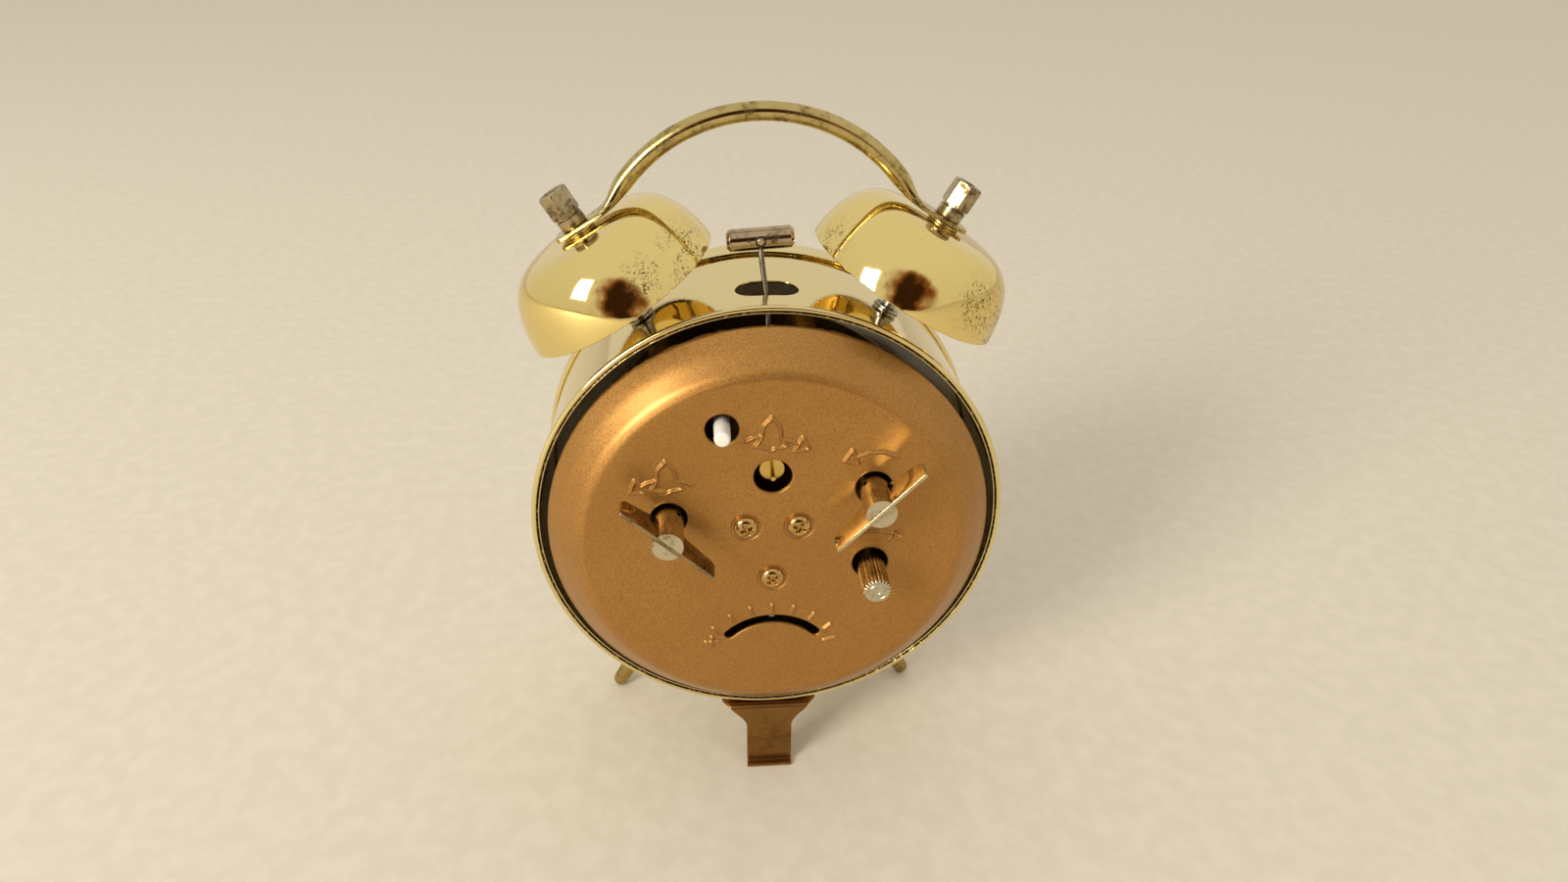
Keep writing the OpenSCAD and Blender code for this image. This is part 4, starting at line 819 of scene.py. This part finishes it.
def coverHoles():   # (centre, radius) of the round holes
    holes = [((clickAt[k].x, clickAt[k].z), cover["shaftHole"]) for k in ("time", "alarm", "set")]
    holes.append((setHoleAt, cover["setHole"]))
    holes.append(((clickAt["pin"].x, clickAt["pin"].z), cover["pinHole"]))
    return holes + [(at, cover["screwHole"]) for at in screwsAt]


def slotDistance(x, z):   # how far a point is outside the regulator slot
    px, pz = x - balanceAt[0], z - balanceAt[1]
    a = np.degrees(np.arctan2(px, pz))
    a = np.radians(np.clip(a, -cover["slotHalf"], cover["slotHalf"]))
    r = cover["slotRadius"]
    return np.hypot(px - r * np.sin(a), pz - r * np.cos(a)) - cover["slotWidth"] / 2


def coverHeight(x, z, lines):
    side = rounded(cover["outline"], 6, closed=False)[::-1]
    radii = np.array([p[0] for p in side])
    heights = np.array([p[1] for p in side])
    y = np.interp(np.hypot(x, z), radii, heights)
    edge = np.full(x.shape, 99.0)
    for (hx, hz), r in coverHoles():
        edge = np.minimum(edge, np.hypot(x - hx, z - hz) - r)
    edge = np.minimum(edge, slotDistance(x, z))
    y -= 0.16 * np.clip(1 - edge / 0.4, 0, 1) ** 2
    for sx, sz in screwsAt:
        inside = np.clip((cover["dimple"] - np.hypot(x - sx, z - sz)) / 0.6, 0, 1)
        y -= cover["dimpleDepth"] * inside * inside * (3 - 2 * inside)
    ridge = np.clip(1 - segmentDistance(x, z, lines) / cover["ridgeWidth"], 0, 1)
    return y + cover["ridge"] * ridge * ridge * (3 - 2 * ridge)


def coverMesh():
    lines = signLines()
    points, edges = [], []

    def loop(ring, fixed=True):
        start = len(points)
        points.extend(ring)
        if fixed:
            edges.extend((start + i, start + (i + 1) % len(ring)) for i in range(len(ring)))

    def circle(centre, r, count):
        return [(centre[0] + r * math.cos(2 * math.pi * i / count),
                 centre[1] + r * math.sin(2 * math.pi * i / count)) for i in range(count)]
    for k, r in enumerate((49.2, 49.12, 48.95, 48.6, 48.1, 47.5, 46.8, 46.1, 45.4, 44.7, 44.0, 43.4, 42.9,
                           42.4, 41.9, 41.4, 40.9, 40.4, 39.9, 39.4, 38.6)):
        loop(circle((0, 0), r, 240), fixed=(k == 0))
    for centre, r in coverHoles():
        count = 64 if r > 2 else 32
        loop(circle(centre, r, count))
        for grow in (0.1, 0.2, 0.4, 0.9):
            loop(circle(centre, r + grow, count), fixed=False)
    for sx, sz in screwsAt:
        for r in (2.6, 3.0, 3.15, 3.3, 3.45, 3.6, 3.9):
            loop(circle((sx, sz), r, 56), fixed=False)
    half, r = math.radians(cover["slotHalf"]), cover["slotRadius"]
    for grow in (0.0, 0.1, 0.2, 0.4, 0.9):
        w, ring = cover["slotWidth"] / 2 + grow, []
        for k in range(49):
            a = -half + 2 * half * k / 48
            ring.append((balanceAt[0] + (r + w) * math.sin(a), balanceAt[1] + (r + w) * math.cos(a)))
        for sideSign in (1, -1):
            end = Vector((balanceAt[0] + r * math.sin(sideSign * half), balanceAt[1] + r * math.cos(half)))
            out = Vector((math.sin(sideSign * half), math.cos(half)))
            turnBy = Vector((out.y, -out.x)) * sideSign
            for k in range(1, 8):
                b = math.pi * k / 8
                p = end + (out * math.cos(b) * sideSign + turnBy * math.sin(b)) * w
                ring.append(tuple(p))
            if sideSign == 1:
                for k in range(49):
                    a = half - 2 * half * k / 48
                    ring.append((balanceAt[0] + (r - w) * math.sin(a), balanceAt[1] + (r - w) * math.cos(a)))
        loop(ring, fixed=(grow == 0.0))
    gridX, gridZ = np.meshgrid(np.arange(-40, 40, cover["grid"]), np.arange(-40, 40, cover["grid"] * 0.866))
    gridX = gridX + (np.arange(gridX.shape[0]) % 2)[:, None] * cover["grid"] / 2
    fineX, fineZ = np.meshgrid(np.arange(-32, 32, cover["fine"]), np.arange(-32, 35, cover["fine"]))
    near = segmentDistance(fineX.ravel(), fineZ.ravel(), lines)
    fine = near < cover["ridgeWidth"] + 0.3
    x = np.concatenate([gridX.ravel(), fineX.ravel()[fine]])
    z = np.concatenate([gridZ.ravel(), fineZ.ravel()[fine]])
    coarse = np.arange(len(x)) < gridX.size
    free = np.hypot(x, z) < 38.2
    for (hx, hz), r in coverHoles():
        free &= np.hypot(x - hx, z - hz) > r + 1.1
    for sx, sz in screwsAt:
        free &= np.hypot(x - sx, z - sz) > 4.3
    free &= slotDistance(x, z) > 1.1
    free &= ~(coarse & (segmentDistance(x, z, lines) < cover["ridgeWidth"] + 0.5))
    points.extend(zip(x[free].tolist(), z[free].tolist()))
    result = delaunay_2d_cdt([Vector(p) for p in points], edges, [], 0, 1e-5, False)
    flat = np.array([tuple(v) for v in result[0]])
    faces = np.array([f for f in result[2] if len(f) == 3])
    centre = flat[faces].mean(1)
    keep = np.hypot(centre[:, 0], centre[:, 1]) < cover["rim"]
    for (hx, hz), r in coverHoles():
        keep &= np.hypot(centre[:, 0] - hx, centre[:, 1] - hz) > r * 0.9985
    keep &= slotDistance(centre[:, 0], centre[:, 1]) > -0.004
    faces = faces[keep]
    height = coverHeight(flat[:, 0], flat[:, 1], lines)
    outer = [Vector((p[0], h, p[1])) for p, h in zip(flat, height)]
    # the same sheet again below, and walls round every free edge
    edgeCount = {}
    for face in faces.tolist():
        for a, b in zip(face, face[1:] + face[:1]):
            edgeCount[(a, b)] = edgeCount.get((a, b), 0) + 1
    free = [(a, b) for a, b in edgeCount if (b, a) not in edgeCount]
    count = len(outer)
    under = [v - Vector((0, cover["thickness"], 0)) for v in outer]
    allFaces = faces.tolist() + [[i + count for i in reversed(f)] for f in faces.tolist()]
    allFaces += [[b, a, a + count, b + count] for a, b in free]
    return makeMesh("back_cover", outer + under, allFaces, sharp=62)


bronzePaint = flakePaint("bronzeFlakePaint")
addPiece("back_cover", coverMesh(), bronzePaint, "cover_paint", "rear_cover")
print("cover ready")


screw = {"radius": 2.7, "seat": 9.74, "height": 1.36, "cross": 1.5, "crossWidth": 0.42, "crossDepth": 0.8}


def screwHead():   # a domed pan head with a crossed recess
    rings, count, faces = 30, 72, []
    verts = [(0.0, 0.0, screw["seat"] + screw["height"] - screw["crossDepth"])]
    for k in range(1, rings + 1):
        r = screw["radius"] * math.sin(math.pi / 2 * k / rings)
        dome = screw["height"] * max(0.0, 1 - (r / screw["radius"]) ** 3) ** 0.5
        for i in range(count):
            a = 2 * math.pi * i / count
            x, y = r * math.cos(a), r * math.sin(a)
            major, minor = max(abs(x), abs(y)), min(abs(x), abs(y))
            across = min(1.0, max(0.0, (screw["crossWidth"] - minor) / 0.14))
            along = min(1.0, max(0.0, (screw["cross"] - major) / 0.35))
            dip = screw["crossDepth"] * across * along
            verts.append((x, y, screw["seat"] + dome - dip))
    for i in range(count):
        faces.append([0, 1 + i, 1 + (i + 1) % count])
    for k in range(rings - 1):
        for i in range(count):
            a, b = 1 + k * count + i, 1 + k * count + (i + 1) % count
            faces.append([a, a + count, b + count, b])
    rim = len(verts) - count
    faces.append([rim + i for i in reversed(range(count))])
    shank = lathe([(0, 5.5), (1.2, 5.5), (1.2, 9.8), (0, 9.8)], 24, closed=False)
    return joined([(verts, faces), shank])


screwNickel = metalFinish("tintedNickel", "#C4A064", "#5E421C", 0.14, 0.35, grain=0.5, wear=0.35)
turns = (20, 63, 38)
screwPlaces = [facing(x, z) @ Matrix.Rotation(math.radians(t), 4, "Z") for (x, z), t in zip(screwsAt, turns)]
addPiece("cover_screw_heads", repeated("cover_screw_heads", screwHead(), screwPlaces, screwNickel, sharp=40),
         screwNickel, "tinted_nickel", "cover_screws")

key = {"length": 25.0, "height": 7.0, "thickness": 0.85, "end": 20.4, "timeTurn": 134.0, "alarmTurn": 42.5}
keyNickel = metalFinish("keyNickel", "#CDBE98", "#84683C", 0.09, 0.34, grain=0.9, wear=0.25)
darkKey = metalFinish("darkKeyNickel", "#A58C64", "#5A4428", 0.12, 0.36, grain=1.1, wear=0.5, clean=0.54)


def keyMesh(name, at, turn):
    half, deep = key["length"] / 2, -key["height"]
    corners = [(-half, 0, 0.25), (half, 0, 0.25), (half, deep + 2.4, 0.5), (half - 1.0, deep + 1.6, 0.8),
               (3.85, deep, 0.6), (-3.85, deep, 0.6), (-half + 1.0, deep + 1.6, 0.8),
               (-half, deep + 2.4, 0.5)]
    t = key["thickness"] / 2
    place = Matrix.Translation((at.x, key["end"], at.z)) @ Matrix.Rotation(math.radians(-turn), 4, "Y")
    return makeMesh(name, *slabOf(rounded(corners, 3), -t, t, 0.16), place, sharp=40)


addPiece("time_key_wing", keyMesh("time_key_wing", clickAt["time"], key["timeTurn"]), keyNickel,
         "key_nickel", "time_key")
addPiece("alarm_key_wing", keyMesh("alarm_key_wing", clickAt["alarm"], key["alarmTurn"]), darkKey,
         "key_nickel", "alarm_key")

knob = {"radius": 3.1, "start": 11.2, "end": 20.7, "knurls": 22, "depth": 0.42}


def knurlSector():   # one flute of the knob, from the bore to the middle of its end face
    length = knob["end"] - knob["start"]
    r = knob["radius"]
    profile = [(1.35, -10.9), (1.9, -10.9), (1.9, -0.1), (r - 0.6, 0), (r - 0.15, 0.3), (r, 0.7), (r, 2.6),
               (r, 4.8), (r, 7.0), (r, length - 0.65), (r - 0.12, length - 0.3), (r - 0.55, length),
               (2.05, length), (1.95, length - 0.09), (1.75, length - 0.09), (1.65, length), (0.75, length),
               (0.65, length - 0.08), (0.0, length - 0.1)]
    steps, verts, faces = 10, [], []
    for pr, h in profile:
        for i in range(steps + 1):
            a = 2 * math.pi / knob["knurls"] * (i / steps - 0.5)
            groove = 0.5 + 0.5 * math.cos(2 * math.pi * i / steps)
            here = pr - (knob["depth"] * groove ** 1.6 if pr > r - 0.5 else 0)
            verts.append((here * math.cos(a), here * math.sin(a), knob["start"] + h))
    for k in range(len(profile) - 1):
        for i in range(steps):
            a = k * (steps + 1) + i
            faces.append([a, a + 1, a + steps + 2, a + steps + 1])
    return verts, faces


knobNickel = metalFinish("knobNickel", "#CCC0A4", "#6A5634", 0.2, 0.38, grain=0.6, wear=0.3)
at = clickAt["set"]
knobPlaces = [facing(at.x, at.z) @ Matrix.Rotation(2 * math.pi * k / knob["knurls"], 4, "Z")
              for k in range(knob["knurls"])]
addPiece("knurled_knob", repeated("knurled_knob", knurlSector(), knobPlaces, knobNickel, sharp=32),
         knobNickel, "key_nickel", "set_knob")

whitePlastic = paint("whitePlastic", "#F0EDE6", "#E6E1D6", 0.32, grain=0.7)
setInputs(whitePlastic.node_tree.nodes["Principled BSDF"],
          {"Subsurface Weight": 0.15, "Subsurface Radius": (0.001, 0.001, 0.0008)})
at = clickAt["pin"]
pinOutline = [(0, -2.9, 0), (1.7, -2.9, 0.1), (1.7, 14.6, 1.5), (0, 14.6, 0)]
addPiece("stop_pin", makeMesh("stop_pin", *lathe(rounded(pinOutline, 10, closed=False), 56, closed=False),
                              facing(at.x, at.z)), whitePlastic, "white_plastic", "alarm_stop_pin")
print("keys ready")


foot = {"splay": 29.5, "setBack": 30.0, "tip": 4.0}
bracket = {"width": 23.6, "leg": 11.3, "thickness": 0.9, "front": -13.0, "legAt": 1.65, "lip": 3.6,
           "rivetX": 7.0, "rivetY": -8.0}
footBrass = metalFinish("footBrass", "#AD955A", "#7C6838", 0.16, 0.4, grain=0.9, wear=0.5)


def footMesh(name, side):
    tip = foot["tip"] / 2
    end = (axisHeight - tip) / math.cos(math.radians(foot["splay"]))
    start = drum["radius"]
    outline = [(0, start - 4, 0), (1.5, start - 4, 0.2), (1.5, start + 0.25, 0), (3.3, start + 0.25, 0.25),
               (3.3, start + 1.85, 0.5), (2.75, start + 1.85, 0.1)]
    outline += [(2.75 + (tip - 2.75) * k / 6, start + 1.95 + (end - start - 1.95) * k / 6, 0)
                for k in range(1, 7)]
    profile = rounded(outline, 4, closed=False)
    profile += [(tip * math.cos(math.radians(a)), end + tip * math.sin(math.radians(a)))
                for a in range(9, 90, 9)]
    profile.append((0, end + tip))
    place = (Matrix.Translation((0, -foot["setBack"], 0))
             @ Matrix.Rotation(math.radians(side * (180 - foot["splay"])), 4, "Y"))
    return makeMesh(name, *lathe(profile, 56, closed=False), place)


addPiece("front_foot_left", footMesh("front_foot_left", 1), footBrass, "brass_foot", "left_front_foot")
addPiece("front_foot_right", footMesh("front_foot_right", -1), footBrass, "brass_foot", "right_front_foot")
plateTop = -bezel["outer"] - 0.1


def softBox(halfWidth, halfThick, radius):   # a strip's section, its corners rounded
    ring = []
    for cx, cy, first in ((1, 1, 0), (-1, 1, 90), (-1, -1, 180), (1, -1, 270)):
        for k in range(5):
            a = math.radians(first + 90 * k / 4)
            ring.append((cx * (halfWidth - radius) + radius * math.cos(a),
                         cy * (halfThick - radius) + radius * math.sin(a)))
    return ring


def bracketMesh():
    half = bracket["thickness"] / 2
    bottom = -axisHeight + half
    corners = [(bracket["front"], plateTop - half, 0), (bracket["legAt"], plateTop - half, 1.1),
               (bracket["legAt"], bottom, 0.8), (bracket["lip"], bottom, 0)]
    rough = [Vector(p) for p in rounded(corners, 8, closed=False)]
    path = []
    for a, b in zip(rough, rough[1:]):
        pieces = max(1, round((b - a).length / 0.7))
        path += [a.lerp(b, k / pieces) for k in range(pieces)]
    path.append(rough[-1])
    leg = bracket["leg"] / 2
    # (distance along the strip behind the drum's edge, half width)
    flare = [(0, bracket["width"] / 2), (1.4, leg + 5.1), (2.8, leg + 3.9), (4.2, leg + 2.6),
             (5.6, leg + 1.3), (7.0, leg + 0.4), (8.2, leg)]
    along = [0.0]
    for a, b in zip(path, path[1:]):
        along.append(along[-1] + (b - a).length)
    edgeAt = -1.0 - bracket["front"]
    sections = []
    for p, distance in zip(path, along):
        w = float(np.interp(distance - edgeAt, [d for d, half in flare], [half for d, half in flare]))
        nearEnd = min(abs(p.x - bracket["front"]), 99)
        if nearEnd < 1.2:
            w -= 0.9 * (1 - nearEnd / 1.2) ** 2
        sections.append(softBox(w, half, 0.3))
    strip = sweep([Vector((0, p.x, p.y)) for p in path], Vector((1, 0, 0)), sections)
    pad = lathe(rounded([(1.05, plateTop, 0), (3.0, plateTop, 0.1), (3.0, plateTop + 1.7, 0.1),
                         (1.05, plateTop + 1.7, 0)]), 40)
    pads = [moved(pad, Matrix.Translation((s * bracket["rivetX"], bracket["rivetY"], 0))) for s in (1, -1)]
    return makeMesh("rear_stay", *joined([strip] + pads), sharp=40)


bronzedSteel = metalFinish("bronzedSteel", "#8E6838", "#6E4C26", 0.3, 0.42, grain=2.0, wear=0.35,
                           depth=0.003, clean=0.55)
addPiece("rear_stay", bracketMesh(), bronzedSteel, "bronzed_steel", "rear_foot")
rivet = lathe(rounded([(0, plateTop - 1.7, 0), (1.3, plateTop - 1.65, 0.5), (1.9, plateTop - 0.9, 0.15),
                       (1.0, plateTop - 0.9, 0), (1.0, plateTop + 2.6, 0), (1.7, plateTop + 2.6, 0.1),
                       (1.6, plateTop + 3.3, 0.3), (0, plateTop + 3.4, 0)], closed=False), 40, closed=False)
rivetPlaces = [Matrix.Translation((s * bracket["rivetX"], bracket["rivetY"], 0)) for s in (1, -1)]
addPiece("stay_rivets", repeated("stay_rivets", rivet, rivetPlaces, footBrass), footBrass, "brass_foot",
         "foot_rivets")
print("feet ready")


dialFace = {"front": -32.1, "numeral": 8.4, "numeralAt": 35.2, "trackAt": 42.4, "print": 0.04}
facingDial = Matrix.Rotation(math.radians(90), 4, "X")   # local +Z looks along -Y
blackPaint = paint("blackHandPaint", "#17161A", "#222024", 0.28, grain=0.5)
printInk = paint("dialInk", "#1B1916", "#26231F", 0.55, grain=0.5)
dialPaint = paint("dialPaint", "#F3ECDB", "#EFE7D4", 0.5, grain=3.0)


def numerals():
    verts, faces = [], []
    for hour in range(1, 13):
        curve = bpy.data.curves.new("numeral", "FONT")
        curve.body, curve.size, curve.extrude = str(hour), dialFace["numeral"], dialFace["print"]
        curve.align_x, curve.align_y, curve.resolution_u = "CENTER", "CENTER", 6
        holder = bpy.data.objects.new("numeral", curve)
        bpy.context.scene.collection.objects.link(holder)
        bpy.context.view_layer.update()
        mesh = bpy.data.meshes.new_from_object(holder.evaluated_get(bpy.context.evaluated_depsgraph_get()))
        a = math.radians(hour * 30)
        xs, ys = [v.co.x for v in mesh.vertices], [v.co.y for v in mesh.vertices]
        shift = Vector((-(min(xs) + max(xs)) / 2, -(min(ys) + max(ys)) / 2, 0))
        at = Vector((dialFace["numeralAt"] * math.sin(a), dialFace["numeralAt"] * math.cos(a), 0))
        start = len(verts)
        verts += [v.co + shift + at for v in mesh.vertices]
        faces += [[start + i for i in p.vertices] for p in mesh.polygons]
        bpy.data.objects.remove(holder)
    place = Matrix.Translation((0, dialFace["front"], 0)) @ facingDial
    return makeMesh("dial_numerals", verts, faces, place, sharp=30)


addPiece("dial_numerals", numerals(), printInk, "black_paint", body="case")


def ticks(name, width, length, skip):
    part = slabOf([(-width / 2, -length / 2), (width / 2, -length / 2), (width / 2, length / 2),
                   (-width / 2, length / 2)], -dialFace["print"], dialFace["print"], 0.01)
    places = []
    for minute in range(60):
        if (minute % 5 == 0) != skip:
            place = Matrix.Translation((0, dialFace["front"], 0)) @ facingDial
            place = place @ Matrix.Rotation(math.radians(-6 * minute), 4, "Z")
            places.append(place @ Matrix.Translation((0, dialFace["trackAt"], 0)))
    return repeated(name, part, places, printInk)


addPiece("minute_strokes", ticks("minute_strokes", 0.32, 1.7, True), printInk, "black_paint", body="case")
addPiece("hour_strokes", ticks("hour_strokes", 1.0, 2.6, False), printInk, "black_paint", body="case")


def handMesh(name, clock, length, width, tail, rear, hub, bore):
    w = width / 2
    corners = [(-w * 0.8, -tail, 0.3), (w * 0.8, -tail, 0.3), (w * 0.55, 0, 2.0), (w, length * 0.55, 3.0),
               (w * 0.8, length * 0.78, 2.0), (0.06, length, 0.02), (-0.06, length, 0.02),
               (-w * 0.8, length * 0.78, 2.0), (-w, length * 0.55, 3.0), (-w * 0.55, 0, 2.0)]
    blade = slabOf(rounded(corners, 4), 0.0, 0.32, 0.08)
    collar = lathe(rounded([(bore, 0, 0), (hub, 0, 0.05), (hub, 0.45, 0.12), (bore, 0.45, 0)]), 56)
    place = (Matrix.Translation((0, rear, 0)) @ facingDial @ Matrix.Rotation(math.radians(-clock), 4, "Z"))
    return makeMesh(name, *joined([blade, collar]), place, sharp=40)


front = dialFace["front"]
addPiece("minute_blade", handMesh("minute_blade", 60, 38, 2.9, 9, front - 2.7, 3.0, 1.6), blackPaint,
         "black_paint", "minute_hand")
addPiece("hour_blade", handMesh("hour_blade", 305, 26, 3.9, 6, front - 1.4, 3.8, 2.3), blackPaint,
         "black_paint", "hour_hand")
alarmHandBrass = metalFinish("alarmHandBrass", "#CDAA55", "#86642C", 0.2, 0.4)
addPiece("alarm_blade", handMesh("alarm_blade", 180, 20, 1.8, 5, front - 0.4, 4.4, 3.0), alarmHandBrass,
         "black_paint", "alarm_hand")
print("dial ready")


plateBrass = metalFinish("plateBrass", "#C9A85C", "#86662E", 0.28, 0.45, grain=1.4, wear=0.4, streak=0.2)
wheelBrass = metalFinish("wheelBrass", "#D6B565", "#8D6D33", 0.2, 0.38, grain=1.0, wear=0.35)
bluedSpring = metalFinish("bluedSpringSteel", "#3E4C66", "#2A2A33", 0.16, 0.32, grain=1.5, wear=0.5)
plainSteel = metalFinish("plainSteel", "#A9A69E", "#5F5A50", 0.22, 0.4, grain=0.8, wear=0.4)
silveredRing = metalFinish("silveredRing", "#D9CDB0", "#A5946C", 0.22, 0.4, grain=2.0, wear=0.3)
shaftNickel = metalFinish("shaftNickel", "#CCBFA2", "#6E5A3A", 0.14, 0.34, grain=0.8, wear=0.35)
glassPane = mineralGlass("mineralGlass")
finishOf = {
    dialPaint: ["dial"], glassPane: ["dial_glass"], silveredRing: ["reflector_ring"],
    zincSteel: ["foot_nuts", "post_nuts", "pillar_nuts"],
    plainSteel: ["hammer_arbor", "time_click", "alarm_click", "pallet_fork", "regulator_lever", "set_shaft"],
    plateBrass: ["front_plate", "rear_plate", "plate_pillars", "spring_posts", "dial_pins", "cover_posts"],
    wheelBrass: ["time_great_wheel", "alarm_great_wheel", "alarm_escape_wheel", "second_wheel",
                 "third_wheel", "fourth_wheel", "escape_wheel", "cannon_pinion", "minute_wheel",
                 "hour_wheel", "alarm_wheel", "alarm_set_shaft", "balance_wheel"],
    bluedSpring: ["time_mainspring", "alarm_mainspring", "hairspring"],
    shaftNickel: ["time_winding_shaft", "alarm_winding_shaft"],
}
for material, nodes in finishOf.items():
    for node in nodes:
        mesh = frame["nodes"][node].data
        mesh.materials.clear()
        mesh.materials.append(material)
print("finishes ready")


def makeFloor():
    mesh = bpy.data.meshes.new("floor")
    mesh.from_pydata([(-3, -3, 0), (3, -3, 0), (3, 3, 0), (-3, 3, 0)], [], [(0, 1, 2, 3)])
    floor = bpy.data.objects.new("floor", mesh)
    bpy.context.scene.collection.objects.link(floor)
    mesh.materials.append(paint("paleTable", "#D6CDBC", "#DCD3C3", 0.75, grain=6, depth=0.02))


makeFloor()


def areaLight(name, place, size, colour, watts):
    data = bpy.data.lights.new(name, "AREA")
    data.shape = "RECTANGLE"
    data.size, data.size_y = size
    data.energy = watts
    data.color = linear(colour)[:3]
    light = bpy.data.objects.new(name, data)
    bpy.context.scene.collection.objects.link(light)
    aim = Vector((0, 0, 0.07)) - Vector(place)
    light.matrix_world = Matrix.Translation(place) @ aim.to_track_quat("-Z", "Y").to_matrix().to_4x4()


areaLight("windowLight", (1.3, 1.2, 0.85), (0.6, 0.8), "#FFFDF2", 30.0)


def makeWorld():
    world = bpy.data.worlds.new("room")
    bpy.context.scene.world = world
    world.use_nodes = True
    tree = world.node_tree
    place = addNode(tree, "ShaderNodeTexCoord").outputs["Generated"]
    rise = addNode(tree, "ShaderNodeSeparateXYZ", {"Vector": place}).outputs["Z"]
    up = addNode(tree, "ShaderNodeMapRange", {"Value": rise, "From Min": -0.1, "From Max": 0.9}, **soft)
    wall = addNode(tree, "ShaderNodeMix", {0: up, 6: linear("#EAE2D0"), 7: linear("#F4EFE4")}, **colours)
    # darker furniture far behind the clock's rear side, with an uneven outline
    ragged = addNode(tree, "ShaderNodeTexNoise", {"Vector": place, "Scale": 2.3, "Detail": 3.0})
    bent = addNode(tree, "ShaderNodeVectorMath", {0: ragged.outputs["Color"], 1: (-0.5, -0.5, -0.5)},
                   operation="ADD")
    shifted = addNode(tree, "ShaderNodeVectorMath", {0: bent, 1: (0.9, 0.9, 0.9), 2: place},
                      operation="MULTIPLY_ADD")
    away = addNode(tree, "ShaderNodeVectorMath", {0: shifted, 1: (0.02, 0.93, 0.18)}, operation="DISTANCE")
    edge = addNode(tree, "ShaderNodeMapRange", {"Value": away, "From Min": 0.56, "From Max": 0.34}, **soft)
    core = addNode(tree, "ShaderNodeMapRange", {"Value": away, "From Min": 0.4, "From Max": 0.2}, **soft)
    rim = addNode(tree, "ShaderNodeMix", {0: edge, 6: wall, 7: linear("#9A6636")}, **colours)
    room = addNode(tree, "ShaderNodeMix", {0: core, 6: rim, 7: linear("#3A2316")}, **colours)
    # the clock mirrors the furniture, while behind the clock the room is plain
    seen = addNode(tree, "ShaderNodeLightPath").outputs["Is Camera Ray"]
    sight = addNode(tree, "ShaderNodeMix", {0: seen, 6: room, 7: wall}, **colours)
    setInputs(tree.nodes["Background"], {"Color": sight, "Strength": 0.9})


makeWorld()
bpy.context.scene.view_settings.view_transform = "Standard"

print("scene ready")
